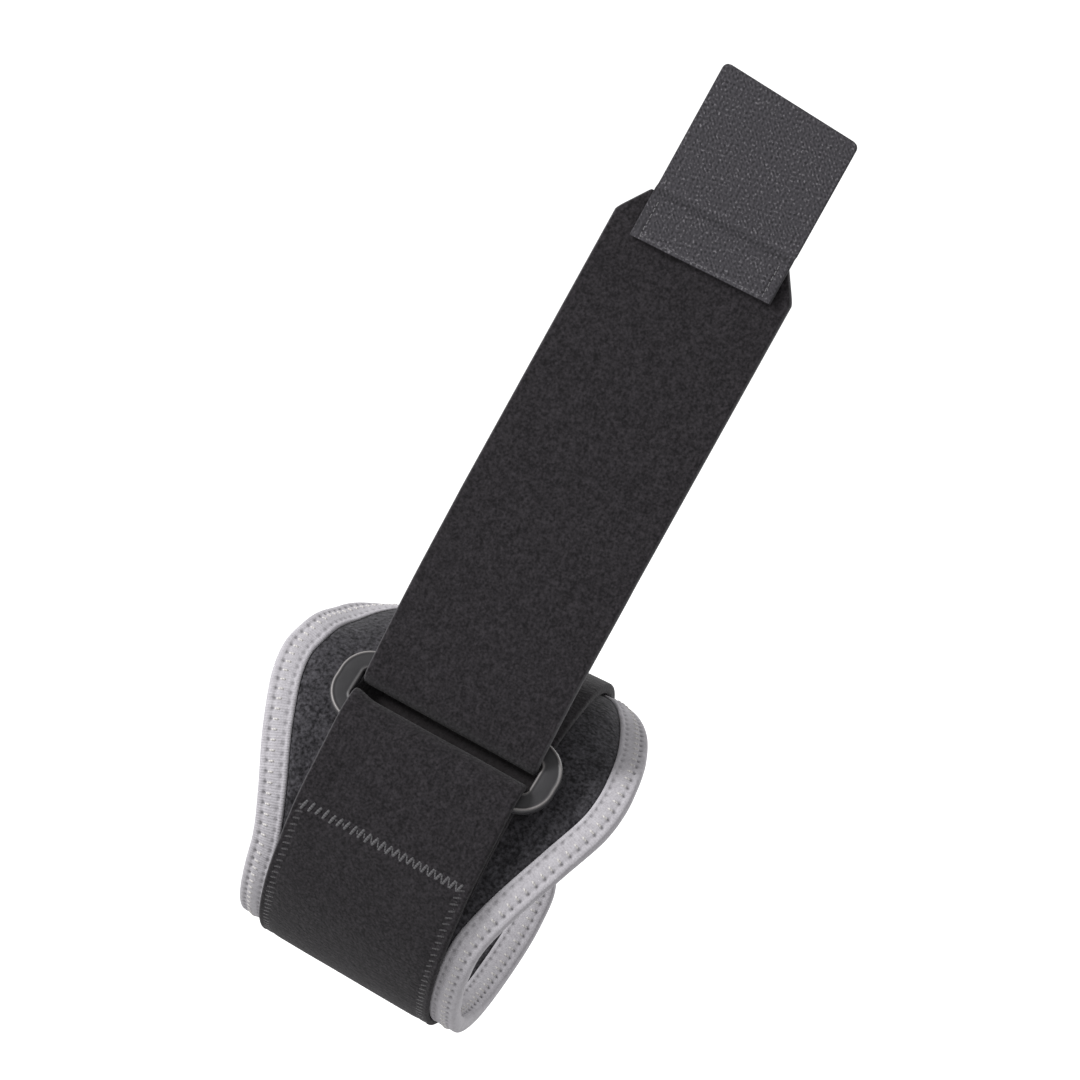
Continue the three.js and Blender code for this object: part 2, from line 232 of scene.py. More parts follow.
def at_ring(side, rise, lift):
    """A point in the ring's own plane: rise up the tangent, less the tilt, and lift along the outward
    normal."""
    radius = MID_RADIUS + lift + FLARE * side
    tilted = rise - RING_TILT * side
    y = tilted * math.sin(RING_TURN) - radius * math.cos(RING_TURN)
    z = tilted * math.cos(RING_TURN) + radius * math.sin(RING_TURN)
    return joined(side, y, z)


def loop_side(along):
    """The sideways direction of a strap on the cone.

    It is X with the flare added along the outward normal. Near the ring the ring's tilt is taken off
    along the tangent, faded out by a smooth step.
    """
    along = np.asarray(along, dtype=float)
    turn = RING_TURN + along / MID_RADIUS
    away = np.minimum(np.abs(along), np.abs(along + GIRTH))
    tilt = RING_TILT * (1.0 - ramp(away, TILT_FROM, TILT_TO - TILT_FROM))
    y = -FLARE * np.cos(turn) - tilt * np.sin(turn)
    z = FLARE * np.sin(turn) - tilt * np.cos(turn)
    return unit(joined(np.ones_like(turn), y, z))


def spline(points, per_span):
    """Centripetal Catmull-Rom curve through points.

    Each span is a cubic. Its end slopes come from the four points round it, weighted by the square
    roots of the distances between them, and the points past both ends are mirrored ones.
    """
    p = np.vstack([2 * points[0] - points[1], points, 2 * points[-1] - points[-2]])
    p0, p1, p2, p3 = p[:-3], p[1:-2], p[2:-1], p[3:]
    d0, d1, d2 = (np.sqrt(np.linalg.norm(b - a, axis=1))[:, None] for a, b in ((p0, p1), (p1, p2), (p2, p3)))
    slope1 = ((p1 - p0) / d0 - (p2 - p0) / (d0 + d1) + (p2 - p1) / d1) * d1
    slope2 = ((p2 - p1) / d1 - (p3 - p1) / (d1 + d2) + (p3 - p2) / d2) * d1
    t = (np.arange(per_span) / per_span)[None, :, None]
    a, b, s, e = (v[:, None, :] for v in (p1, p2, slope1, slope2))
    curve = a + s * t + (3 * (b - a) - 2 * s - e) * t**2 + (2 * (a - b) + s + e) * t**3
    return np.vstack([curve.reshape(-1, points.shape[1]), points[-1:]])


def run_of(points):
    """Length along a polyline at each of its points."""
    return np.concatenate([[0.0], np.cumsum(np.linalg.norm(np.diff(points, axis=0), axis=1))])


def resample(at, run, values):
    """Columns of values, given at lengths run, read off at new lengths."""
    return np.stack([np.interp(at, run, column) for column in values.T], axis=1)


def evenly(points, count):
    """count points at equal steps of length along a polyline."""
    run = run_of(points)
    return resample(np.linspace(0.0, run[-1], count), run, points)


def ripple(u, v, seed, size, waves=7):
    """A sum of plane waves of about one size, with seeded directions and phases, between about -1 and 1."""
    rng = np.random.default_rng(seed)
    turn = rng.uniform(0, 2 * math.pi, waves)
    phase = rng.uniform(0, 2 * math.pi, waves)
    pace = 2 * math.pi / (size * rng.uniform(*WAVE_SPREAD, waves))
    total = sum(np.sin(k * (u * math.cos(a) + v * math.sin(a)) + f) for a, f, k in zip(turn, phase, pace))
    return total / math.sqrt(2 * waves)


# Meshes from arrays

# Distance within which points are welded, and a thread's steps, sides and fullness
WELD = 0.002
THREAD_STEPS = 8
THREAD_SIDES = 6
THREAD_FULLNESS = 0.7


def grid_faces(rows, columns, wrap_rows=False, wrap_columns=False):
    """Quads of a grid of points, and the row and column that each corner stands for, counted past a
    wrap."""
    i = np.arange(rows if wrap_rows else rows - 1)
    j = np.arange(columns if wrap_columns else columns - 1)
    i, j = (v.ravel() for v in np.meshgrid(i, j, indexing="ij"))
    row = np.stack([i, i + 1, i + 1, i], axis=1)
    column = np.stack([j, j, j + 1, j + 1], axis=1)
    return (row % rows) * columns + column % columns, row, column


def ladder(count):
    """Quads that close a ring of an even count of points, rung by rung."""
    j = np.arange(count // 2 - 1)
    return np.stack([j, j + 1, count - 2 - j, count - 1 - j], axis=1)


def band_faces(rows, face, corner):
    """Quads of a closed band. Each of its rows is a ring of a face, a corner, the other face and the other
    corner; the first and the last ring are closed, begun mid corner."""
    count = 2 * (face + corner)
    cap = np.roll(np.arange(count), corner // 2)[ladder(count)]
    side = grid_faces(rows, count, wrap_columns=True)[0]
    return np.vstack([side, cap[:, ::-1], cap + (rows - 1) * count])


def around(face, edge):
    """Values once round a flat band's section: a face, an edge, and both again with their signs turned."""
    return np.concatenate([face, edge, -face, -edge])


def band_section(columns, corner):
    """Shares of the half width once round a flat band's section, and the angles of its rounded edge."""
    angle = np.linspace(0.5 * math.pi, -0.5 * math.pi, corner + 2)[1:-1]
    return around(np.linspace(-1.0, 1.0, columns), np.ones(corner)), angle


def enclosed(points, quads):
    """Six times the enclosed volume of closed quads, from the corners' triple products."""
    a, b, c, d = (points[quads[:, k]] for k in range(4))
    one = np.einsum("ij,ij->i", a, np.cross(b, c))
    two = np.einsum("ij,ij->i", a, np.cross(c, d))
    return float(np.sum(one + two))


def make_piece(name, points, quads, finish, corner_uv=None, values=None, weld=False):
    """A mesh object from whole arrays.

    Points are in millimetres. Faces are turned outward by the sign of the enclosed volume, or
    recalculated after the doubles are merged when several grids are welded.
    """
    if not weld and enclosed(points, quads) < 0:
        quads = quads[:, ::-1]
        corner_uv = None if corner_uv is None else corner_uv[:, ::-1]
    mesh = bpy.data.meshes.new(name)
    mesh.vertices.add(len(points))
    mesh.vertices.foreach_set("co", (points * MM).astype(np.float32).ravel())
    mesh.loops.add(quads.size)
    mesh.loops.foreach_set("vertex_index", quads.astype(np.int32).ravel())
    mesh.polygons.add(len(quads))
    mesh.polygons.foreach_set("loop_start", np.arange(0, quads.size, 4, dtype=np.int32))
    if corner_uv is not None:
        layer = mesh.uv_layers.new(name="UVMap")
        layer.data.foreach_set("uv", corner_uv.astype(np.float32).ravel())
    for key, value in (values or {}).items():
        stored = mesh.attributes.new(key, "FLOAT", "POINT")
        stored.data.foreach_set("value", value.astype(np.float32).ravel())
    mesh.update(calc_edges=True)
    if weld:
        work = bmesh.new()
        work.from_mesh(mesh)
        bmesh.ops.remove_doubles(work, verts=work.verts, dist=WELD * MM)
        bmesh.ops.recalc_face_normals(work, faces=work.faces)
        work.to_mesh(mesh)
        work.free()
    mesh.polygons.foreach_set("use_smooth", np.ones(len(mesh.polygons), dtype=bool))
    if mesh.validate():
        raise RuntimeError(name + " had faults in its faces")
    mesh.materials.append(finish)
    piece = bpy.data.objects.new(name, mesh)
    bpy.context.scene.collection.objects.link(piece)
    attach(piece, "root")
    return piece


def tubes(path, across, up, radius, sides):
    """Round tubes along many paths at once, closed at both ends.

    The section is a circle of sides points in the plane of the directions across and up. The rows and
    columns of one tube's side faces come along for a UV map.
    """
    angle = np.arange(sides) * 2 * math.pi / sides
    circle = across[:, :, None] * np.cos(angle)[:, None] + up[:, :, None] * np.sin(angle)[:, None]
    points = path[:, :, None] + radius * circle
    count, rows = path.shape[:2]
    body, row, column = grid_faces(rows, sides, wrap_columns=True)
    one = np.vstack([body, ladder(sides), ladder(sides)[:, ::-1] + (rows - 1) * sides])
    shift = (np.arange(count) * rows * sides)[:, None, None]
    return points.reshape(-1, 3), (one[None] + shift).reshape(-1, 4), row, column


def thread_arrays(start, end, normal, radius, lift):
    """Many short threads at once.

    Each runs straight from start to end and rises over the cloth by lift times a smooth hump, a power of
    a half sine. Its ends dip under the cloth by one radius.
    """
    t = np.linspace(0.0, 1.0, THREAD_STEPS + 1)
    hump = np.sin(math.pi * t)[None, :] ** THREAD_FULLNESS
    rise = (np.reshape(lift, (-1, 1)) + radius) * hump - radius
    path = start[:, None] + (end - start)[:, None] * t[None, :, None] + normal[:, None] * rise[..., None]
    way = unit(np.gradient(path, axis=1))
    across = unit(np.cross(way, normal[:, None]))
    points, quads, row, column = tubes(path, across, np.cross(across, way), radius, THREAD_SIDES)
    length = np.linalg.norm(end - start, axis=1)
    side_uv = np.stack([row / THREAD_STEPS, column / THREAD_SIDES], axis=2)
    cap_uv = np.zeros((2 * len(ladder(THREAD_SIDES)), 4, 2))
    uv = np.concatenate([side_uv, cap_uv])[None] * joined(length, np.ones_like(length))[:, None, None, :]
    return points, quads, uv.reshape(-1, 4, 2)


def thread_piece(name, sets, finish):
    """One piece from several sets of threads, each set given as the arguments of thread_arrays."""
    points, quads, uv = [], [], []
    count = 0
    for arguments in sets:
        p, q, w = thread_arrays(**arguments)
        points.append(p)
        quads.append(q + count)
        uv.append(w)
        count += len(p)
    return make_piece(name, np.vstack(points), np.vstack(quads), finish, corner_uv=np.concatenate(uv))


# Materials

SHEEN_ROUGHNESS = 0.55
NOISE_ROUGHNESS = 0.55

# Scale at which the wave texture has one wave in each unit
ONE_WAVE = 0.314


def add_node(tree, kind, inputs=None, **settings):
    """A node with its settings, its plain input values and its links."""
    node = tree.nodes.new(kind)
    for key, value in settings.items():
        setattr(node, key, value)
    for key, value in (inputs or {}).items():
        if isinstance(value, bpy.types.NodeSocket):
            tree.links.new(value, node.inputs[key])
        else:
            node.inputs[key].default_value = value
    return node


def new_material(name, roughness, sheen, specular):
    """A material with its shader's constants set, and the shader itself."""
    material = bpy.data.materials.new(name)
    material.use_nodes = True
    tree = material.node_tree
    shader = tree.nodes["Principled BSDF"]
    shader.inputs["Roughness"].default_value = roughness
    shader.inputs["Specular IOR Level"].default_value = specular
    shader.inputs["Sheen Weight"].default_value = sheen
    shader.inputs["Sheen Roughness"].default_value = SHEEN_ROUGHNESS
    return material, tree, shader


def object_millimetres(tree):
    """Object coordinates in millimetres."""
    place = add_node(tree, "ShaderNodeTexCoord")
    inputs = {0: place.outputs["Object"], 1: (1 / MM, 1 / MM, 1 / MM)}
    return add_node(tree, "ShaderNodeVectorMath", inputs, operation="MULTIPLY").outputs[0]


def noise(tree, place, size, detail):
    """Noise whose grains are about size across, in the units of the place."""
    inputs = {"Vector": place, "Scale": 1.0 / size, "Detail": detail, "Roughness": NOISE_ROUGHNESS}
    return add_node(tree, "ShaderNodeTexNoise", inputs).outputs["Fac"]


def cells(tree, place, size):
    """Distance to the nearest of scattered points about size apart, small at each point."""
    return add_node(tree, "ShaderNodeTexVoronoi", {"Vector": place, "Scale": 1.0 / size}).outputs["Distance"]


def span(tree, value, low, high, to_low=0.0, to_high=1.0):
    """A value taken from low..high to another span, held at its ends."""
    inputs = {"Value": value, "From Min": low, "From Max": high, "To Min": to_low, "To Max": to_high}
    return add_node(tree, "ShaderNodeMapRange", inputs).outputs["Result"]


def blend(tree, first, share, second):
    """Sum of two values, the first weighted by its share and the second by the rest."""
    weighted = math_node(tree, "MULTIPLY", first, share)
    return math_node(tree, "ADD", weighted, math_node(tree, "MULTIPLY", second, 1.0 - share))


def math_node(tree, operation, first, second):
    """Arithmetic on two values."""
    return add_node(tree, "ShaderNodeMath", {0: first, 1: second}, operation=operation).outputs[0]


def mixed(tree, share, first, second, how="MIX"):
    """Two colours mixed by a share."""
    inputs = {0: share, 6: first, 7: second}
    return add_node(tree, "ShaderNodeMix", inputs, data_type="RGBA", blend_type=how).outputs[2]


def attribute(tree, name):
    """One of the piece's own point values."""
    return add_node(tree, "ShaderNodeAttribute", attribute_name=name).outputs["Fac"]


def bump(tree, shader, height, distance, strength=1.0):
    """Relief of the given depth in millimetres."""
    inputs = {"Height": height, "Distance": distance * MM, "Strength": strength}
    node = add_node(tree, "ShaderNodeBump", inputs)
    tree.links.new(node.outputs["Normal"], shader.inputs["Normal"])


def rgba(colour, share=1.0):
    """A share of a colour, with full opacity."""
    return (*(share * c for c in colour), 1.0)


def brushed_cloth(name, dark, light, grain, contrast, relief, sheen, edge_and_painted_light_colour):
    """Brushed loop cloth: fine fuzz with blotches two grains wide, dark hollows between tufts of about one
    grain, and another colour by the piece's own edge value, which holds painted shade on the panel and the
    cut edges' colour with painted highlights on the strap."""
    material, tree, shader = new_material(name, 0.95, sheen, 0.15)
    place = object_millimetres(tree)
    tufts = cells(tree, place, grain)
    fine = noise(tree, place, grain * 0.55, 3.0)
    blotch = noise(tree, place, grain * 1.9, 2.0)
    fuzz = blend(tree, fine, 0.75, blotch)
    share = span(tree, fuzz, 0.5 - 0.5 * contrast, 0.5 + 0.5 * contrast)
    colour = mixed(tree, share, rgba(dark), rgba(light))
    hollows = span(tree, tufts, 0.25, 0.75, 1.0, 0.72)
    colour = mixed(tree, 1.0, colour, hollows, "MULTIPLY")
    # The edge value paints shade on the panel and the cut edges' colour with painted highlights on the strap
    edge = math_node(tree, "MULTIPLY", attribute(tree, "edge"), span(tree, fine, 0.25, 0.7, 0.55, 1.0))
    colour = mixed(tree, edge, colour, rgba(edge_and_painted_light_colour))
    tree.links.new(colour, shader.inputs["Base Color"])
    raised = math_node(tree, "MULTIPLY", fine, 0.8)
    height = math_node(tree, "SUBTRACT", raised, math_node(tree, "MULTIPLY", tufts, 0.7))
    bump(tree, shader, height, relief)
    return material


def ribbed_tape(name, colour, shade, rib):
    """Woven tape: fine ribs across its length by its UV map, mottled yarn, and painted shade in the needle
    holes.
    """
    material, tree, shader = new_material(name, 0.85, 0.15, 0.2)
    map_node = add_node(tree, "ShaderNodeUVMap", uv_map="UVMap")
    inputs = {"Vector": map_node.outputs["UV"], "Scale": (1.0 / rib, 0.35, 1.0)}
    stretch = add_node(tree, "ShaderNodeMapping", inputs)
    inputs = {"Vector": stretch.outputs[0], "Scale": ONE_WAVE, "Distortion": 1.2, "Detail": 1.0,
              "Detail Scale": 1.5}
    ribs = add_node(tree, "ShaderNodeTexWave", inputs).outputs["Fac"]
    place = object_millimetres(tree)
    yarn = noise(tree, place, 0.5, 3.0)
    blotch = noise(tree, place, 2.4, 2.0)
    share = blend(tree, yarn, 0.65, blotch)
    tone = mixed(tree, span(tree, share, 0.34, 0.66), rgba(shade), rgba(colour))
    tone = mixed(tree, span(tree, ribs, 0.0, 1.0, 0.0, 0.13), tone, rgba(shade))
    # The needle holes are painted darker as shade
    hole_shading = math_node(tree, "MULTIPLY", attribute(tree, "pierce"), 0.8)
    tone = mixed(tree, hole_shading, tone, rgba(shade, 0.16))
    tree.links.new(tone, shader.inputs["Base Color"])
    height = math_node(tree, "SUBTRACT", yarn, math_node(tree, "MULTIPLY", ribs, 0.55))
    bump(tree, shader, height, 0.10)
    return material


def twisted_thread(name, colour, shade):
    """Sewing thread: slanting plies by its UV map, darker between them."""
    material, tree, shader = new_material(name, 0.7, 0.2, 0.3)
    map_node = add_node(tree, "ShaderNodeUVMap", uv_map="UVMap")
    turned = add_node(tree, "ShaderNodeMapping", {"Vector": map_node.outputs["UV"], "Scale": (1.6, 1.0, 1.0)})
    inputs = {"Vector": turned.outputs[0], "Scale": 2 * ONE_WAVE, "Distortion": 0.4}
    plies = add_node(tree, "ShaderNodeTexWave", inputs, bands_direction="DIAGONAL").outputs["Fac"]
    tone = mixed(tree, span(tree, plies, 0.1, 0.9), rgba(shade), rgba(colour))
    tree.links.new(tone, shader.inputs["Base Color"])
    bump(tree, shader, plies, 0.06)
    return material


def satin_plastic(name, colour, lip_highlight, roughness):
    """Moulded plastic: a fine even grain, faint flow marks, and lips painted lighter as a highlight."""
    material, tree, shader = new_material(name, roughness, 0.0, 0.45)
    place = object_millimetres(tree)
    grain = noise(tree, place, 0.25, 2.0)
    flow = noise(tree, place, 7.0, 2.0)
    tone = mixed(tree, span(tree, flow, 0.3, 0.7), rgba(colour), rgba(colour, 1.3))
    # A painted highlight along the lips
    highlighted = math_node(tree, "MULTIPLY", attribute(tree, "lip"), span(tree, grain, 0.2, 0.7, 0.55, 1.0))
    tone = mixed(tree, highlighted, tone, rgba(lip_highlight))
    tree.links.new(tone, shader.inputs["Base Color"])
    tree.links.new(span(tree, flow, 0.3, 0.7, roughness - 0.06, roughness + 0.08), shader.inputs["Roughness"])
    bump(tree, shader, grain, 0.03, 0.6)
    return material


def hook_weave(name, dark, light, speck):
    """Rough woven tape: lighter yarn on the raised places by the piece's own weave value, with its painted
    shade and highlights, and sparse light specks painted as glints on the raised yarn."""
    material, tree, shader = new_material(name, 0.85, 0.05, 0.25)
    place = object_millimetres(tree)
    yarn = noise(tree, place, 0.35, 3.0)
    loose = noise(tree, place, 0.55, 1.0)
    raised = attribute(tree, "weave")
    share = blend(tree, raised, 0.7, yarn)
    tone = mixed(tree, span(tree, share, 0.25, 0.75), rgba(dark), rgba(light))
    # Sparse painted glints on the raised yarn
    glint = math_node(tree, "MULTIPLY", span(tree, loose, 0.56, 0.70), span(tree, raised, 0.40, 0.75))
    tone = mixed(tree, glint, tone, rgba(speck))
    tree.links.new(tone, shader.inputs["Base Color"])
    bump(tree, shader, yarn, 0.09)
    return material


def filament(name, colour):
    """Hook filament: smooth drawn plastic with slight changes of tone."""
    material, tree, shader = new_material(name, 0.35, 0.0, 0.5)
    place = object_millimetres(tree)
    tone = mixed(tree, noise(tree, place, 1.5, 1.0), rgba(colour), rgba(colour, 1.6))
    tree.links.new(tone, shader.inputs["Base Color"])
    bump(tree, shader, noise(tree, place, 0.15, 1.0), 0.01)
    return material


def studio_paper(name, colour, glow):
    """Pale matt backdrop with a faint cloudiness and a little light of its own."""
    material, tree, shader = new_material(name, 0.95, 0.0, 0.1)
    place = add_node(tree, "ShaderNodeTexCoord").outputs["Object"]
    cloud = noise(tree, place, 0.6, 2.0)
    tone = mixed(tree, span(tree, cloud, 0.3, 0.7), rgba(colour, 0.97), rgba(colour))
    tree.links.new(tone, shader.inputs["Base Color"])
    shader.inputs["Emission Color"].default_value = rgba(colour)
    shader.inputs["Emission Strength"].default_value = glow
    return material


# The panel

PANEL_ROWS = 240
PANEL_COLUMNS = 84
BORDER_DEPTHS = BINDING_FACE + np.array([-6.0, -3.4, -1.7, -1.2, -0.7, -0.3, 0.0, 0.25, 0.5, 0.9, 1.4])
SPLINE_STEPS = 40
PANEL_RELIEF = 0.28
PANEL_SHEEN = 0.08

# Where the pile under the ring and the folds is painted darker as shade: half width, half length and the fade
# of both
PAINTED_SHADE_SIDE = 23.0
PAINTED_SHADE_ALONG = 7.0
PAINTED_SHADE_FADE = 2.5

# The panel's rise to the tape's underside and past it: starts and lengths, from the tape's inner edge
TAPE_CLEARANCE = 0.05
PINCH_FROM = -1.7
PINCH_OVER = 1.4
RISE_FROM = -0.25
RISE_OVER = 0.7

# The soft roll beside the tape, its fall farther in, and the strap's bed, which has none
ROLL_OVER = 1.6
ROLL_FALL = 0.7
ROLL_FALL_FROM = 3.0
ROLL_FALL_OVER = 6.0
BED_SIDE = 24.0
BED_FADE = 3.0

# Faint unevenness: height, size, and where it begins
UNEVEN = 0.05
UNEVEN_SIZE = 13.0
UNEVEN_FROM = 1.0
UNEVEN_OVER = 4.0


def panel_edges(steps):
    """Left and right edges as along and side, at equal steps of length on the splines through the
    outline."""
    along, left, right = np.array(PANEL_OUTLINE).T
    left_edge = evenly(spline(joined(along, -left), SPLINE_STEPS), steps + 1)
    right_edge = evenly(spline(joined(along, right), SPLINE_STEPS), steps + 1)
    return left_edge, right_edge


def inward(outline, reach=1):
    """Directions into the panel: square to the way from the point before to the point after on the
    closed outline."""
    way = unit(np.roll(outline, -reach, axis=0) - np.roll(outline, reach, axis=0))
    return joined(-way[:, 1], way[:, 0])


def panel_height(along, side, depth, swell):
    """Half thickness of the panel.

    It is pressed flat under the binding, comes up to the tape's underside just before the tape's inner
    edge, rises steeply beside it, swells in a soft roll where no strap lies on it, and has faint
    unevenness.
    """
    pressed = PANEL_PRESSED / 2
    under = BINDING_INNER - TAPE_CLEARANCE
    full = PANEL_THICKNESS / 2
    beside = depth - BINDING_FACE
    near = (under - pressed) * ramp(beside, PINCH_FROM, PINCH_OVER)
    inside = (full - under) * ramp(beside, RISE_FROM, RISE_OVER)
    bare = ramp(np.abs(side), BED_SIDE, BED_FADE)
    fall = ROLL_FALL * ramp(beside, ROLL_FALL_FROM, ROLL_FALL_OVER)
    roll = swell * ramp(beside, 0.0, ROLL_OVER) * (1.0 - fall) * bare
    uneven = UNEVEN * ripple(along, side, SEED, UNEVEN_SIZE) * ramp(beside, UNEVEN_FROM, UNEVEN_OVER)
    return pressed + near + inside + roll + uneven


def shade_under_ring(along, side):
    """Share of the pile under the ring and the folds that is painted darker as shade: one under them, faded
    by smooth steps.
    """
    inside = 1.0 - ramp(np.abs(side), PAINTED_SHADE_SIDE, PAINTED_SHADE_FADE)
    return inside * (1.0 - ramp(np.abs(along), PAINTED_SHADE_ALONG, PAINTED_SHADE_FADE))


def build_panel(settings):
    """The padded panel as one closed surface.

    Rows join equal steps of the two edges. Each row is a ring: the outer face from left to right, with
    its pressed borders, and the inner face back again. A strip of the same border closes each end,
    welded to the rows.
    """
    swell = settings.swell / MM
    left, right = panel_edges(PANEL_ROWS)
    into = inward(np.vstack([left, right[::-1]]))
    left_in = into[:PANEL_ROWS + 1]
    right_in = into[PANEL_ROWS + 1:][::-1]
    share = np.linspace(0.0, 1.0, PANEL_COLUMNS)
    depths = BORDER_DEPTHS
    left_border = left[:, None] + depths[None, :, None] * left_in[:, None]
    right_border = right[:, None] + depths[None, :, None] * right_in[:, None]
    start = left_border[:, -1:]
    reach = right_border[:, -1:] - start
    middle = start + reach * share[None, :, None]
    flat = np.concatenate([left_border[:, :-1], middle, right_border[:, -2::-1]], axis=1)
    width = np.linalg.norm(reach, axis=2)
    inner_depth = depths[-1] + np.minimum(share, 1.0 - share)[None, :] * width
    low_end = middle[:1, :1, 0]
    high_end = middle[-1:, :1, 0]
    end_depth = depths[-1] + np.minimum(middle[:, :, 0] - low_end, high_end - middle[:, :, 0])
    inner_depth = np.minimum(inner_depth, np.maximum(end_depth, depths[-1]))
    border = np.broadcast_to(depths[:-1], (PANEL_ROWS + 1, len(depths) - 1))
    depth = np.concatenate([border, inner_depth, border[:, ::-1]], axis=1)
    along, side = np.moveaxis(flat, -1, 0)
    height = panel_height(along, side, depth, swell)
    outer = on_panel(along, side, height)
    inner = on_panel(along, side, -height)
    ring = np.concatenate([outer, inner[:, ::-1]], axis=1)
    count = ring.shape[1]
    points = [ring.reshape(-1, 3)]
    # The pile under the ring and the folds goes into the edge value as painted shade, darker where the slot
    # lies in shade
    painted_shade = np.concatenate([shade_under_ring(along, side), 0.0 * height], axis=1).ravel()
    quads = [grid_faces(PANEL_ROWS + 1, count, wrap_columns=True)[0]]
    for row in (0, PANEL_ROWS):
        a = left_border[row]
        b = right_border[row]
        strip = a[:, None] + (b - a)[:, None] * share[None, :, None]
        deep = np.broadcast_to(depths[:, None], strip.shape[:2])
        along, side = np.moveaxis(strip, -1, 0)
        rise = panel_height(along, side, deep, swell)
        top = on_panel(along, side, rise)[::-1]
        under = on_panel(along, side, -rise)
        total = sum(len(p) for p in points)
        quads.append(grid_faces(2 * len(depths), PANEL_COLUMNS)[0] + total)
        points.append(np.concatenate([top, under]).reshape(-1, 3))
    finish = brushed_cloth("panel_cloth", settings.dark, settings.light, settings.grain / MM,
                           settings.contrast, PANEL_RELIEF, PANEL_SHEEN, settings.painted_shade)
    points = np.vstack(points)
    edge = np.pad(painted_shade, (0, len(points) - len(painted_shade)))
    panel = make_piece("panel", points, np.vstack(quads), finish,
                       values={"edge": edge}, weld=True)
    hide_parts("body_panel")


# The edge binding

BINDING_STATIONS = 1400
OUTLINE_STEPS = 900
INWARD_REACH = 4

# The tape's section: its rounded inner edge, its flat face, its fold and how square the fold is
BROW_DEPTH = 0.9
BROW_HEIGHT = 0.55
BROW_POINTS = 6
FACE_FROM = BINDING_FACE - 1.1
FACE_TO = 1.45
FACE_POINTS = 19
TAPE_FOLD = 1.15
TAPE_SQUARE = 0.8

# The two sewn rows: depth from the panel's edge, width of the groove, and its sink
NEEDLE_DEPTH = 2.05
NEEDLE_WIDTH = 0.40
SECOND_DEPTH = 5.7
SECOND_WIDTH = 0.45
GROOVE_SINK = 0.06

# The needle holes of the outer row and the dips of the inner one: length, sink, darkness of their painted
# shade
HOLE_LENGTH = 0.42
HOLE_SINK = 0.42
HOLE_DARK = 0.85
DIP_LENGTH = 0.5
DIP_SINK = 0.26
DIP_DARK = 0.55
DIP_LATER = 0.3

# Where the tape puffs up: height, depth from the panel's edge, width
PUFFS = [(0.10, 3.6, 1.1), (0.05, 0.9, 0.6)]

# The bead of thread beside each hole
BEAD_DEPTH = 3.25
BEAD_HALF = 0.65
BEAD_RADIUS = 0.27
BEAD_LIFT = 0.08


def closed_outline(count):
    """The panel's outline as one closed run: points, directions inward and the step of length."""
    left, right = panel_edges(OUTLINE_STEPS)
    around = np.vstack([left, right[::-1], left[:1]])
    points = evenly(around, count + 1)[:-1]
    step = run_of(around)[-1] / count
    return points, inward(points, INWARD_REACH), step


def binding_section():
    """The folded tape's section as depth, height, and the share of each point's relief on the two outer
    faces.

    The outer faces run from the inner edge to a rounded fold, a superellipse, and the inner face runs
    back in a plain throat.
    """
    angle = np.linspace(0.0, 0.5 * math.pi, BROW_POINTS)
    brow_depth = BINDING_FACE - BROW_DEPTH + BROW_DEPTH * np.cos(angle)
    brow_height = BINDING_OUTER - BROW_HEIGHT + BROW_HEIGHT * np.sin(angle)
    face_depth = np.linspace(FACE_FROM, FACE_TO, FACE_POINTS)
    turn = np.linspace(0.5 * math.pi, 0.0, BROW_POINTS + 1)[1:]
    fold_depth = TAPE_FOLD * (1.0 - np.abs(np.cos(turn)) ** TAPE_SQUARE)
    fold_height = BINDING_OUTER * np.sin(turn) ** TAPE_SQUARE
    depth = np.concatenate([brow_depth, face_depth, fold_depth])
    height = np.concatenate([brow_height, np.full(FACE_POINTS, BINDING_OUTER), fold_height])
    relief = np.pad(np.ones(FACE_POINTS), BROW_POINTS)
    throat_depth = np.array([TAPE_THICKNESS, TAPE_THICKNESS, BINDING_FACE])
    throat_height = np.array([-BINDING_INNER, BINDING_INNER, BINDING_INNER])
    full_depth = np.concatenate([depth, depth[-2::-1], [BINDING_FACE], throat_depth])
    full_height = np.concatenate([height, -height[-2::-1], [-BINDING_INNER], throat_height])
    full_relief = np.concatenate([relief, relief[-2::-1], np.zeros(4)])
    return full_depth, full_height, full_relief


def binding_relief(run, depth, pitch):
    """Relief of the tape's face, and how far each point lies in a needle hole, which sets the holes' painted
    shade.

    Two sewn rows are shallow grooves. The outer row has a small round hole every pitch and the inner
    row a wider shallow dip a third of a pitch later. Between the rows the tape puffs up a little.
    """
    first = bell(depth, NEEDLE_DEPTH, NEEDLE_WIDTH)
    second = bell(depth, SECOND_DEPTH, SECOND_WIDTH)
    holes = first * beat(run, pitch, HOLE_LENGTH)
    dips = second * beat(run + DIP_LATER * pitch, pitch, DIP_LENGTH)
    puff = sum(tall * bell(depth, middle, width) for tall, middle, width in PUFFS)
    relief = puff - GROOVE_SINK * (first + second) - HOLE_SINK * holes - DIP_SINK * dips
    return relief, np.clip(HOLE_DARK * holes + DIP_DARK * dips, 0.0, 1.0)


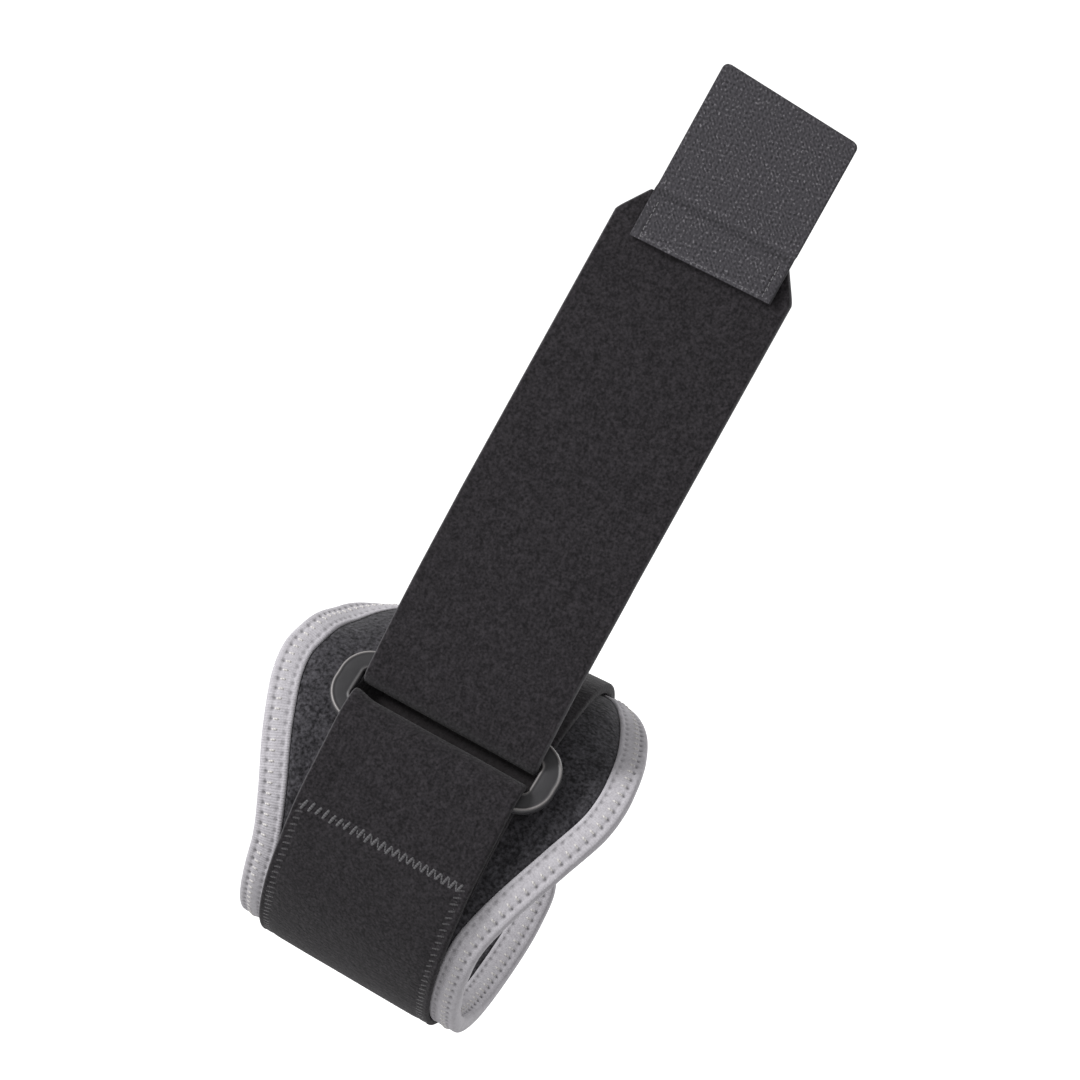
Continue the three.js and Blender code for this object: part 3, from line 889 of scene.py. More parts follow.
def build_binding(settings):
    """The folded tape round the panel's edge, and its stitch.

    A section of depth and height is carried round the outline. Each stitch is a short bead of thread
    beside its needle hole, on both faces.
    """
    outline, into, step = closed_outline(BINDING_STATIONS)
    length = step * BINDING_STATIONS
    stitches = round(length / (settings.pitch / MM))
    pitch = length / stitches
    run = step * np.arange(BINDING_STATIONS)
    depth, height, share = binding_section()
    relief, pierce = binding_relief(run[:, None], depth[None, :], pitch)
    lifted = height[None, :] + np.sign(height)[None, :] * share[None, :] * relief
    flat = outline[:, None] + depth[None, :, None] * into[:, None]
    points = on_panel(flat[..., 0], flat[..., 1], lifted)
    quads, row, column = grid_faces(BINDING_STATIONS, len(depth), wrap_rows=True, wrap_columns=True)
    section = np.stack([depth, height], axis=1)
    girth = run_of(np.vstack([section, section[:1]]))
    uv = np.stack([row * step, girth[column]], axis=2)
    tape = ribbed_tape("binding_tape", settings.colour, settings.shade, settings.rib / MM)
    binding = make_piece("binding", points.reshape(-1, 3), quads, tape, uv,
                         {"pierce": pierce * share[None, :]})
    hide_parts("edge_binding")

    thread = twisted_thread("binding_thread", settings.thread, settings.thread_shade)
    at_first = np.arange(stitches) * pitch
    sets = []
    for face in (1.0, -1.0):
        out = face_points(outline, into, step, at_first, BEAD_DEPTH - BEAD_HALF, face)
        back = face_points(outline, into, step, at_first, BEAD_DEPTH + BEAD_HALF, face)
        sets.append({"start": out[0], "end": back[0], "normal": out[1], "radius": BEAD_RADIUS,
                     "lift": BEAD_LIFT})
    thread_piece("binding_stitches", sets, thread)


def face_points(outline, into, step, run, depth, face):
    """Points on the binding's outer or inner face at lengths along it, with the face's own outward
    direction."""
    at = run / step
    low = np.floor(at).astype(int) % len(outline)
    high = (low + 1) % len(outline)
    part = (at - np.floor(at))[:, None]
    flat = outline[low] * (1 - part) + outline[high] * part
    flat = flat + depth * unit(into[low] * (1 - part) + into[high] * part)
    place = on_panel(flat[:, 0], flat[:, 1], np.full(len(run), face * BINDING_OUTER))
    return place, face * loop_normal(flat[:, 0])


# The ring buckle

RING_CORNER_STEPS = 24
RING_BAR_STEPS = 14
RING_SECTION = 56
RING_SQUARE = 0.55

# The front's share of the thickness, the lips and the dish, each from the ring's two edges
FRONT_FROM = 0.6
FRONT_OVER = 0.3
LIP_INSET = 0.42
LIP_WIDTH = 0.26
LIP_RISE = 0.4
DISH_FROM = 0.6
DISH_OVER = 0.5

# The painted highlight on the slot's lip is fainter at its left: share there, what is added, and where
HIGHLIGHT_LEFT = 0.3
HIGHLIGHT_MORE = 0.5
HIGHLIGHT_FROM = -10.0
HIGHLIGHT_OVER = 20.0


def ring_path(corner_steps, bar_steps):
    """Paired points on the ring's slot and on its outer edge, going once round.

    Each corner is a quarter turn: the outer edge follows a large corner radius, the slot a small one.
    Straight bars join them.
    """
    outer_side = RING_LENGTH / 2 - RING_CORNER
    outer_rise = SLOT_WIDTH / 2 + BAR_WIDTH - RING_CORNER
    slot_side = SLOT_LENGTH / 2 - SLOT_CORNER
    slot_rise = SLOT_WIDTH / 2 - SLOT_CORNER
    inside, outside = [], []
    for corner, (sx, sy) in enumerate(((1, 1), (-1, 1), (-1, -1), (1, -1))):
        angle = 0.5 * math.pi * (corner + np.linspace(0.0, 1.0, corner_steps))
        c, s = np.cos(angle), np.sin(angle)
        inside.append(joined(sx * slot_side + SLOT_CORNER * c, sy * slot_rise + SLOT_CORNER * s))
        outside.append(joined(sx * outer_side + RING_CORNER * c, sy * outer_rise + RING_CORNER * s))
    result = []
    for lines in (inside, outside):
        path = []
        for here, there in zip(lines, lines[1:] + lines[:1]):
            share = np.linspace(0.0, 1.0, bar_steps + 2)[1:-1, None]
            path += [here, here[-1:] + (there[:1] - here[-1:]) * share]
        result.append(np.vstack(path))
    return result


def build_ring(settings):
    """The ring buckle.

    A superellipse section of bar width by bar thickness is carried round the path. Its front face is
    dished a little between two raised lips along the inner and the outer edge.
    """
    inside, outside = ring_path(RING_CORNER_STEPS, RING_BAR_STEPS)
    half = 0.5 * np.linalg.norm(outside - inside, axis=1)
    middle = 0.5 * (inside + outside)
    way = unit(outside - inside)
    angle = np.arange(RING_SECTION) * 2 * math.pi / RING_SECTION
    c, s = np.cos(angle), np.sin(angle)
    across = np.sign(c) * np.abs(c) ** RING_SQUARE
    thick = np.sign(s) * np.abs(s) ** RING_SQUARE
    lip = settings.lip / MM
    from_edge = half[:, None] * (1.0 - np.abs(across))[None, :]
    front = (thick > 0.0) * ramp(np.abs(thick), FRONT_FROM, FRONT_OVER)
    ridge = bell(from_edge, LIP_INSET, LIP_WIDTH) * front[None, :]
    dish = ramp(from_edge, DISH_FROM, DISH_OVER) * front[None, :]
    lift = RING_LIFT + thick[None, :] * BAR_THICKNESS / 2 + lip * LIP_RISE * ridge - lip * dish
    flat = middle[:, None] + way[:, None] * (half[:, None] * across[None, :])[..., None]
    points = at_ring(flat[..., 0], flat[..., 1], lift)
    quads = grid_faces(len(middle), len(angle), wrap_rows=True, wrap_columns=True)[0]
    # The lips are painted lighter as a highlight, full on the outer edge and fainter toward the slot's left
    # end
    slot_highlight = HIGHLIGHT_LEFT + HIGHLIGHT_MORE * ramp(flat[..., 0], HIGHLIGHT_FROM, HIGHLIGHT_OVER)
    highlighted = np.where(across[None, :] > 0.0, 1.0, slot_highlight)
    finish = satin_plastic("ring_plastic", settings.colour, settings.lip_highlight, settings.roughness)
    values = {"lip": ridge * highlighted}
    ring = make_piece("ring", points.reshape(-1, 3), quads, finish, values=values)
    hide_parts("ring_buckle")


# The strap

STRAP_STEP = 0.56
STRAP_COLUMNS = 44
STRAP_CORNER = 10
STRAP_RELIEF = 0.2
STRAP_SHEEN = 0.06
STRAP_UNEVEN = 0.04
STRAP_UNEVEN_SIZE = 16.0

# Points on the stretches of the middle line, and how many of them are averaged
SEWN_POINTS = 40
LOWER_POINTS = 60
LEAVING_POINTS = 20
LOOP_POINTS = 700
UPPER_POINTS = 50
PULLED_POINTS = 260
AVERAGED = 5

# The sewn end's drift, and the angle at which the strap leaves the lower bar's outside
SEWN_DRIFT = -0.2
LEAVING_TURN = 121.0

# The section's rounded edges: how square in width and height, and the groove along the cut edge
EDGE_BOW = 0.75
EDGE_TALL = 0.6
EDGE_GROOVE = 0.10
EDGE_GROOVE_WIDTH = 0.25

# The rounding of both ends: its length, and the share of the thickness that is left at the tip
END_ROUND = 0.7
END_LEFT = 0.05

# Colour of the cut edges, partly their own lighter colour and partly a painted highlight where light catches
# them: width and fade, the stretches with the full share, and the faint share elsewhere
EDGE_WIDTH = 0.5
EDGE_FADE = 0.3
EDGE_FAINT = 0.1
ANCHOR_TO = 50.0
ANCHOR_FADE = 12.0
FREE_FADE = 6.0

# The lower fold: sink, press, the left end's rise with its start and width, and lengths round the crest
FOLD_DROP = 0.26
FOLD_PRESS = 0.45
FOLD_END = 1.1
FOLD_SIDE = 17.0
FOLD_BLEND = 6.0
FOLD_BEFORE = 6.0
FOLD_AFTER = 12.0

# A painted highlight on the upper fold where it faces the slit: how far up the ring, from which turn on, and
# its full share
FOLD_HIGHLIGHT_REACH = 7.0
FOLD_HIGHLIGHT_FROM = 0.6
FOLD_HIGHLIGHT_SHARE = 0.62

# The seam: its ends along the loop, its rows in from the sides, and the channel's fades and widths
SEAM_START = -26.0
SEAM_END = -136.0
SEAM_INSET = 2.1
CHANNEL_FADE = 1.5
CHANNEL_SIDE = 1.4
CHANNEL_ACROSS = 1.7
CHANNEL_PAST = 0.5
CHANNEL_TAPER = 2.0
CHANNEL_SHARE = 0.8

# Threads across the strap, every second one and those between: radius, lift at the left, change to the right
ACROSS_THREADS = [(0.50, -0.17, -0.15), (0.32, -0.29, 0.09)]

# Threads along the sides, every second one and those between: radius, lift
SIDE_THREADS = [(0.38, -0.24), (0.24, -0.26)]
SIDE_ROW = 0.8
ZIGZAG_SLIP = 0.32

# Stands for no bound on a height
UNBOUND = 1e3


def bare_height(along):
    """Height of the straight stretch between the panel's two ends, which touches the hollow in its
    middle."""
    middle = (PANEL_OUTLINE[0][0] + PANEL_OUTLINE[-1][0] - GIRTH) / 2
    turn = np.minimum(np.abs(along - middle) / MID_RADIUS, 1.0)
    straight = (MID_RADIUS + LAY_BARE) / np.cos(turn) - MID_RADIUS
    return np.where(np.abs(along - middle) < MID_RADIUS, straight, UNBOUND)


def fold(centre, start, end, steps):
    """The strap's middle line round a bar: a circular arc about the bar's centre, in degrees."""
    angle = np.radians(np.linspace(start, end, steps))
    rise = centre + FOLD_RADIUS * np.cos(angle)
    lift = RING_LIFT + FOLD_RADIUS * np.sin(angle)
    return at_ring(0.0 * rise, rise, lift)


def pulled(base, up):
    """Middle line and sideways direction of the pulled length.

    It goes straight up from the fold and takes its small sideways lean over the first stretch by a
    smooth blend.
    """
    eased = smooth(up / LEAN_BLEND)
    early = STRAP_LEAN * up * eased / 2
    across = np.where(up < LEAN_BLEND, early, STRAP_LEAN * (up - LEAN_BLEND / 2))
    centre = base + joined(across, 0.0 * up, up)
    straight = unit(np.array([1.0, 0.0, -STRAP_LEAN]))
    side = unit(loop_side(0.0) * (1 - eased)[:, None] + straight * eased[:, None])
    return centre, side


def way_height(along):
    """Height, drift and thickness of the strap along the loop: smooth steps between the rows of its way."""
    table = np.array(STRAP_WAY)
    low = np.clip(np.searchsorted(-table[:, 0], -along) - 1, 0, len(table) - 2)
    here = table[low].T
    step = table[low + 1].T - here
    share = np.clip((along - here[0]) / step[0], 0.0, 1.0)
    height = here[1] + step[1] * smooth(share)
    drift = here[2] + step[2] * share
    thick = here[3] + step[3] * smooth(share)
    return np.minimum(height, bare_height(along)), drift, thick


def strap_path():
    """The strap's middle line from its sewn end to its tapered tip, its directions, thicknesses and
    landmarks.

    It lies on the panel, folds up round the lower bar, goes back over itself and once round the loop,
    folds up through the slot round the upper bar and goes straight up.
    """
    bar_centre = SLOT_WIDTH / 2 + BAR_THICKNESS / 2
    bar_outside = SLOT_WIDTH / 2 + BAR_WIDTH - BAR_THICKNESS / 2
    under_bar = math.asin(bar_centre / (MID_RADIUS + LAY_ONE))
    under_along = under_bar * MID_RADIUS
    tilt = math.degrees(under_bar)
    first = np.linspace(SEWN_END, -under_along, SEWN_POINTS)[:-1]
    thinned = (STRAP_THICKNESS - SEWN_THIN) * np.clip(1.0 - (first - SEWN_END) / SEWN_TAPER, 0.0, 1.0)
    lower = fold(-bar_centre, 270.0 + tilt, 450.0, LOWER_POINTS)
    leaving = fold(-bar_outside, 90.0, LEAVING_TURN, LEAVING_POINTS)
    loop = np.linspace(STRAP_WAY[0][0], -GIRTH + under_along, LOOP_POINTS)
    height, drift, loop_thick = way_height(loop)
    round_loop = on_loop(loop, drift, height)
    upper = fold(bar_centre, 270.0 - tilt, 90.0 + math.degrees(RING_TURN), UPPER_POINTS)
    base = upper[-1]
    up = np.linspace(0.0, PULLED_LENGTH, PULLED_POINTS)[1:]
    rise, rise_side = pulled(base, up)
    flat_side = loop_side(0.0)
    under = on_loop(first, SEWN_DRIFT + 0 * first, LAY_ONE - thinned / 2)
    centres = np.vstack([under, lower, leaving, round_loop, upper, rise])
    sides = np.vstack([
        loop_side(first),
        np.tile(flat_side, (len(lower) + len(leaving), 1)),
        loop_side(loop),
        np.tile(flat_side, (len(upper), 1)),
        rise_side,
    ])
    run = run_of(centres)
    begin = len(first) + len(lower) + len(leaving)
    thick = np.full(len(centres), STRAP_THICKNESS)
    thick[:len(first)] -= thinned
    thick[begin:begin + len(loop)] = loop_thick
    loop_run = run[begin:begin + len(loop)]
    return centres, sides, thick, run, (loop, loop_run), base


def settled_fold(at, centre, across, height, last):
    """How the lower fold settles on its bar, as shifts along the ring's tangent.

    Round its crest, the highest place before the run last, it sinks onto the bar, its outer side is pressed
    and its left end stands up. All three are faded out by smooth steps before and after.
    """
    crest = at[np.argmax(np.where(at < last, centre[:, 2], -np.inf))]
    share = ramp(at, crest - FOLD_BEFORE, FOLD_BEFORE) * (1.0 - ramp(at, crest, FOLD_AFTER))
    outer = np.clip(2 * height / STRAP_THICKNESS, 0.0, 1.0)
    raised = FOLD_END * ramp(-across, FOLD_SIDE, FOLD_BLEND)
    shift = share[:, None] * (raised - FOLD_DROP - FOLD_PRESS * outer[None, :])
    return shift[..., None] * RING_UP


def painted_fold_highlight(centre, normal, height):
    """Share of painted highlight on the upper fold: the cube of how far its outer side has turned to the
    slit.
    """
    rise = centre @ RING_UP
    toward = np.where((rise > 0.0) & (rise < FOLD_HIGHLIGHT_REACH), -(normal @ RING_UP), 0.0)
    turned = np.clip((toward[:, None] * np.sign(height)[None, :] - FOLD_HIGHLIGHT_FROM) / (1.0 - FOLD_HIGHLIGHT_FROM), 0.0, 1.0)
    return FOLD_HIGHLIGHT_SHARE * turned**3


def seam_channel(run, across, start_run, end_run):
    """Depth of the sewn channel: two rows along the sides and one across at each end, all soft bells."""
    between = ramp(run, start_run - CHANNEL_FADE, CHANNEL_FADE) * (1.0 - ramp(run, end_run, CHANNEL_FADE))
    inset = STRAP_WIDTH / 2 - SEAM_INSET
    rows = bell(np.abs(across), inset, CHANNEL_SIDE) * between
    ends = bell(run, start_run, CHANNEL_ACROSS) + bell(run, end_run, CHANNEL_ACROSS)
    return np.maximum(rows, ends * (1.0 - ramp(np.abs(across), inset + CHANNEL_PAST, CHANNEL_TAPER)))


def strap_section(columns, corner):
    """A rounded flat section: share of the half width, added offset, height, going once round."""
    share, angle = band_section(columns, corner)
    half = STRAP_THICKNESS / 2
    bow = STRAP_ROUND * np.cos(angle) ** EDGE_BOW
    tall = half * np.sign(np.sin(angle)) * np.abs(np.sin(angle)) ** EDGE_TALL
    groove = EDGE_GROOVE * bell(tall, 0.0, EDGE_GROOVE_WIDTH)
    offset = around(np.zeros(columns), bow - groove)
    height = around(np.full(columns, half), tall)
    return share, offset, height


def build_strap(settings):
    """The strap as one flat padded band along its whole way, and its zigzag seam.

    A rounded section is carried along the middle line; the sewn channel is pressed into its outer face.
    """
    centres, sides, thicks, run, (loop, loop_run) = strap_path()[:-1]
    count = round(run[-1] / STRAP_STEP)
    at = np.linspace(0.0, run[-1], count + 1)
    centre = resample(at, run, centres)
    kernel = np.ones(AVERAGED) / AVERAGED
    padded = np.pad(centre, ((AVERAGED // 2, AVERAGED // 2), (0, 0)), mode="reflect", reflect_type="odd")
    centre = np.stack([np.convolve(padded[:, k], kernel, mode="valid") for k in range(3)], axis=1)
    side = unit(resample(at, run, sides))
    way = unit(np.gradient(centre, axis=0))
    normal = unit(np.cross(way, side))
    tip = np.array(STRAP_TIP)
    half = np.interp(run[-1] - at, tip[:, 0], tip[:, 1])
    start_run = np.interp(-SEAM_START, -loop, loop_run)
    end_run = np.interp(-SEAM_END, -loop, loop_run)
    share, offset, height = strap_section(STRAP_COLUMNS, STRAP_CORNER)
    across = share[None, :] * (half - STRAP_ROUND)[:, None] + offset[None, :]
    to_end = np.minimum(at, run[-1] - at)[:, None]
    end_round = np.sqrt(np.clip(1.0 - (1.0 - np.minimum(to_end / END_ROUND, 1.0)) ** 2, END_LEFT, 1.0))
    channel = seam_channel(at[:, None], across, start_run, end_run)
    top = (height >= STRAP_THICKNESS / 2)[None, :]
    soft = STRAP_UNEVEN * ripple(at[:, None], across, SEED + 1, STRAP_UNEVEN_SIZE)
    thick = np.interp(at, run, thicks)
    rise = height[None, :] * end_round * (thick / STRAP_THICKNESS)[:, None]
    rise = rise - top * settings.channel / MM * channel
    rise = rise + np.sign(height)[None, :] * soft * (np.abs(share) < 1)
    points = centre[:, None] + side[:, None] * across[..., None] + normal[:, None] * rise[..., None]
    points = points + settled_fold(at, centre, across, height, loop_run[0])
    quads = band_faces(len(at), STRAP_COLUMNS, STRAP_CORNER)
    # The cut edges' lighter colour, full only on the pulled length and the anchor's left edge as a painted
    # highlight where light from the left falls, faint elsewhere
    edge = ramp(np.abs(across), half[:, None] - EDGE_WIDTH, EDGE_FADE)
    anchor = 1.0 - ramp(at, np.interp(ANCHOR_TO, -loop, loop_run), ANCHOR_FADE)
    free = ramp(at, loop_run[-1], FREE_FADE)
    lit_edges = np.maximum(free[:, None], anchor[:, None] * (across < 0.0))
    edge = edge * (EDGE_FAINT + (1.0 - EDGE_FAINT) * lit_edges)
    # The upper fold's side toward the slit gets a painted highlight in the edge colour
    edge = np.maximum(edge, painted_fold_highlight(centre, normal, height))
    cloth = brushed_cloth("strap_cloth", settings.dark, settings.light, settings.grain / MM,
                          settings.contrast, STRAP_RELIEF, STRAP_SHEEN, settings.edge)
    points = points.reshape(-1, 3)
    strap = make_piece("strap_band", points, quads, cloth, values={"edge": edge})
    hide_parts("strap")
    sew_seam(settings, (at, centre, side, normal, thick), start_run, end_run)


def sew_seam(settings, band, start_run, end_run):
    """The zigzag seam: threads to and fro across each sewn row.

    On the rows across the strap every second thread is full. It lies high at the left and sinks into the
    cloth toward the right, where those between come up. The rows along the sides lie deep in the cloth, in a
    darker copy of the seam thread as painted shade.
    """
    at, centre, side, normal, thick = band
    width = settings.seam_width / MM
    pitch = settings.seam_pitch / MM
    inset = STRAP_WIDTH / 2 - SEAM_INSET
    rng = np.random.default_rng(SEED + 6)

    def place(run, across):
        """Points in the strap's sewn channel at lengths along it and places across it."""
        c = resample(run, at, centre)
        s = unit(resample(run, at, side))
        n = unit(resample(run, at, normal))
        surface = np.interp(run, at, thick) / 2 - CHANNEL_SHARE * settings.channel / MM
        return c + s * across[:, None] + n * surface[:, None], n

    def zigzag(count, wide):
        """Alternating sides of a row of count threads, each a little off its place."""
        return wide / 2 * (-1.0) ** np.arange(count + 1) + rng.uniform(-ZIGZAG_SLIP, ZIGZAG_SLIP, count + 1)

    def threads(points, normals, first, radius, lift):
        """Every second thread of a zigzag, from its first one on."""
        return {"start": points[first:-1:2], "end": points[first + 1::2], "normal": normals[first:-1:2],
                "radius": radius, "lift": lift}

    across_sets, side_sets = [], []
    for end in (start_run, end_run):
        steps = round(2 * inset / pitch)
        points, normals = place(end + zigzag(steps, width), np.linspace(-inset, inset, steps + 1))
        right = np.linspace(0.0, 1.0, steps)
        for first, (radius, lift, change) in enumerate(ACROSS_THREADS):
            lifts = lift + change * smooth(right[first::2])
            across_sets.append(threads(points, normals, first, radius, lifts))
    for sign in (-1.0, 1.0):
        steps = round((end_run - start_run) / pitch)
        beside = sign * inset + zigzag(steps, SIDE_ROW * width)
        points, normals = place(np.linspace(start_run, end_run, steps + 1), beside)
        for first, (radius, lift) in enumerate(SIDE_THREADS):
            side_sets.append(threads(points, normals, first, radius, lift))
    thread = twisted_thread("seam_thread", settings.thread, settings.thread_shade)
    thread_piece("seam_stitches", across_sets, thread)
    # A darker copy of the seam thread for the side rows: painted shade where they lie deep in the channel
    deep = twisted_thread("side_thread", settings.side_thread, settings.light)
    thread_piece("side_stitches", side_sets, deep)


# The hook tab

TAB_ROWS = 200
TAB_COLUMNS = 170
TAB_EDGE_POINTS = 6
TAB_EDGE = 0.28
TAB_BACK_TONE = 0.35

# The tape's step down past the strap's end, and its thinning there: start and length
STEP_FROM = 0.7
STEP_OVER = 1.8
THIN_FROM = 0.4
THIN_OVER = 1.2

# The rough weave: sizes of its two ripples in pitches, their shares, waves in each, and the relief
COARSE_SIZE = 2.0
FINE_SIZE = 1.33
COARSE_SHARE = 0.24
FINE_SHARE = 0.26
WEAVE_WAVES = 17
WEAVE_RELIEF = 0.17

# The selvages over the strap's end: width, fade, calmer weave, the groove in from each, and where they stop
SELVAGE = 2.0
SELVAGE_FADE = 0.5
SELVAGE_CALM = 0.35
GROOVE_PAST = 0.35
OVER_UNTIL = 2.0
OVER_FADE = 1.2

# Shapes on the tape's face: middle, width, rise, how much lighter; the tone paints shade in the grooves and
# the dip and a highlight on the rim and the brow
TAB_GROOVE = (SELVAGE + GROOVE_PAST, 0.4, -0.12, -0.20)
TAB_OUTER_GROOVE = (0.5, 0.3, -0.06, -0.10)
TAB_RIM = (0.7, 0.6, 0.08, 0.14)
TAB_DIP = (0.5, 0.8, -0.14, -0.16)
TAB_BROW = (2.4, 0.8, 0.05, 0.08)

# Stitches of the tab: rows in from the lower edge and the strap's end, drawn share, radius, sink and lifts
ROW_LOW = 0.75
ROW_HIGH = 0.9
STITCH_DRAWN = 0.62
STITCH_RADIUS = 0.18
STITCH_SINK = 0.08
LOW_LIFT = 0.10
SIDE_LIFT = -0.04

# Hooks: bare margins, slip from the even rows, sizes of the filament and its bow, and points on each
HOOKS_FROM = 3.0
HOOKS_TOP = 2.2
HOOKS_SIDE = 2.4
HOOK_SLIP = 0.12
HOOK_BOW = 0.30
HOOK_RADIUS = 0.11
HOOK_ROOT = 0.1
HOOK_SHORT = 0.02
HOOK_TURN = 1.15 * math.pi
HOOK_SIDES = 6
STEM_POINTS = 2
BOW_POINTS = 6


def tab_front(up):
    """Distance of the tape's middle in front of the strap's middle: over the strap's end, then a step
    nearer."""
    front = STRAP_THICKNESS / 2 + GAP + TAB_THICKNESS / 2
    return front - TAB_STEP * ramp(up, PULLED_LENGTH + STEP_FROM, STEP_OVER)


def tab_fan(up):
    """Slope of the tab's rows, which goes evenly from its lower to its upper end."""
    share = (up - PULLED_LENGTH + TAB_OVERLAP) / TAB_LENGTH
    return TAB_FAN_LOW + (TAB_FAN_HIGH - TAB_FAN_LOW) * share


def tab_weave(x, y, pitch):
    """The rough weave's relief between 0 and 1: two seeded ripples, two pitches and one and a third
    long."""
    coarse = ripple(x, y, SEED + 2, COARSE_SIZE * pitch, WEAVE_WAVES)
    fine = ripple(x, y, SEED + 4, FINE_SIZE * pitch, WEAVE_WAVES)
    return np.clip(0.5 + COARSE_SHARE * coarse + FINE_SHARE * fine, 0.0, 1.0)


def tab_relief(across, up, half, pitch):
    """Relief of the tab's front face and its weave value, which carries painted shade in the grooves and the
    dip and a painted highlight on the rim and the brow.

    Over the strap's end each side has a plain selvage with a groove beside it. The lower edge has a
    raised rim, and the tape dips where the strap ends beneath it, with a low brow above.
    """
    from_side = half - np.abs(across)
    past_end = up - PULLED_LENGTH
    from_start = past_end + TAB_OVERLAP
    over = 1.0 - ramp(past_end, -OVER_UNTIL, OVER_FADE)
    selvage = over * (1.0 - ramp(from_side, SELVAGE - SELVAGE_FADE, SELVAGE_FADE))
    woven = (tab_weave(across, up, pitch) - 0.5) * (1.0 - SELVAGE_CALM * selvage)
    relief = WEAVE_RELIEF * woven
    tone = 0.5 + woven
    # Each shape's tone is painted: shade in the grooves and the dip, a highlight on the rim and the brow
    for place, share, (middle, width, rise, lighter) in (
            (from_side, over, TAB_GROOVE),
            (from_side, over, TAB_OUTER_GROOVE),
            (from_start, 1.0, TAB_RIM),
            (past_end, 1.0, TAB_DIP),
            (past_end, 1.0, TAB_BROW)):
        shape = share * bell(place, middle, width)
        relief = relief + rise * shape
        tone = tone + lighter * shape
    return relief, np.clip(tone, 0.0, 1.0)


def build_tab(settings):
    """The hook tab: a woven tape sewn over the strap's end, its box of stitches, and the hooks on its
    back.

    Rows go up the tab. Each is a ring: the woven front from left to right, a rounded edge, the plain
    back and the other edge. The tape thins past the strap's end, where the hooks stand.
    """
    base = strap_path()[-1]
    start = PULLED_LENGTH - TAB_OVERLAP
    top = start + TAB_LENGTH
    up = np.linspace(start, top, TAB_ROWS)
    clip = np.clip(up - (top - TAB_CORNER), 0.0, TAB_CORNER)
    half = TAB_WIDTH / 2 - (TAB_CORNER - np.sqrt(TAB_CORNER**2 - clip**2))
    centre, side = pulled(base, up)
    centre = centre + side * TAB_SHIFT
    front = tab_front(up)
    hooks = settings.hook_height / MM
    thick = TAB_THICKNESS - hooks * ramp(up, PULLED_LENGTH + THIN_FROM, THIN_OVER)
    share, angle = band_section(TAB_COLUMNS, TAB_EDGE_POINTS)
    offset = around(np.zeros(TAB_COLUMNS), TAB_EDGE * np.cos(angle))
    level = around(np.ones(TAB_COLUMNS), np.sin(angle))
    is_front = np.arange(len(share)) < TAB_COLUMNS
    across = share[None, :] * (half - TAB_EDGE)[:, None] + offset[None, :]
    relief, tone = tab_relief(across, up[:, None], half[:, None], settings.weave / MM)
    forward = (front + TAB_THICKNESS / 2)[:, None] - thick[:, None] * (1.0 - level[None, :]) / 2
    forward = forward + is_front * relief
    points = centre[:, None] + side[:, None] * across[..., None]
    fan = tab_fan(up)[:, None] * across
    points = points + joined(0.0 * fan, -forward, fan)
    quads = band_faces(TAB_ROWS, TAB_COLUMNS, TAB_EDGE_POINTS)
    value = np.where(is_front[None, :], tone, TAB_BACK_TONE)
    finish = hook_weave("tab_weave", settings.dark, settings.light, settings.speck)
    tab = make_piece("tab_tape", points.reshape(-1, 3), quads, finish, values={"weave": value})
    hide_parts("hook_tab")
    sew_tab(settings, base, start)
    stand_hooks(settings, base, top)


def tab_place(base, up, across, forward):
    """Points by height up the tab, place across it and distance in front of its middle."""
    centre, side = pulled(base, up)
    place = centre + side * (TAB_SHIFT + across)[:, None]
    return place + joined(0.0 * up, -tab_front(up) - forward, tab_fan(up) * across)


def sew_tab(settings, base, start):
    """The stitches that hold the tab: short threads along its lower edge and, drawn in deeper, up both
    sides."""
    stitch = settings.stitch / MM
    side_row = TAB_WIDTH / 2 - SELVAGE - GROOVE_PAST
    low = start + ROW_LOW
    high = PULLED_LENGTH - ROW_HIGH
    sets = []
    rows = [
        ((-side_row, low), (side_row, low), LOW_LIFT),
        ((-side_row, low), (-side_row, high), SIDE_LIFT),
        ((side_row, low), (side_row, high), SIDE_LIFT),
    ]
    for (a0, u0), (a1, u1), lift in rows:
        count = max(2, round(math.hypot(a1 - a0, u1 - u0) / stitch))
        t = np.arange(count) / count
        far = t + STITCH_DRAWN / count
        surface = np.full(count, TAB_THICKNESS / 2 - STITCH_SINK)
        begin = tab_place(base, u0 + (u1 - u0) * t, a0 + (a1 - a0) * t, surface)
        end = tab_place(base, u0 + (u1 - u0) * far, a0 + (a1 - a0) * far, surface)
        normal = np.tile([0.0, -1.0, 0.0], (count, 1))
        sets.append({"start": begin, "end": end, "normal": normal, "radius": STITCH_RADIUS, "lift": lift})
    thread = twisted_thread("tab_thread", settings.thread, settings.thread_shade)
    thread_piece("tab_stitches", sets, thread)


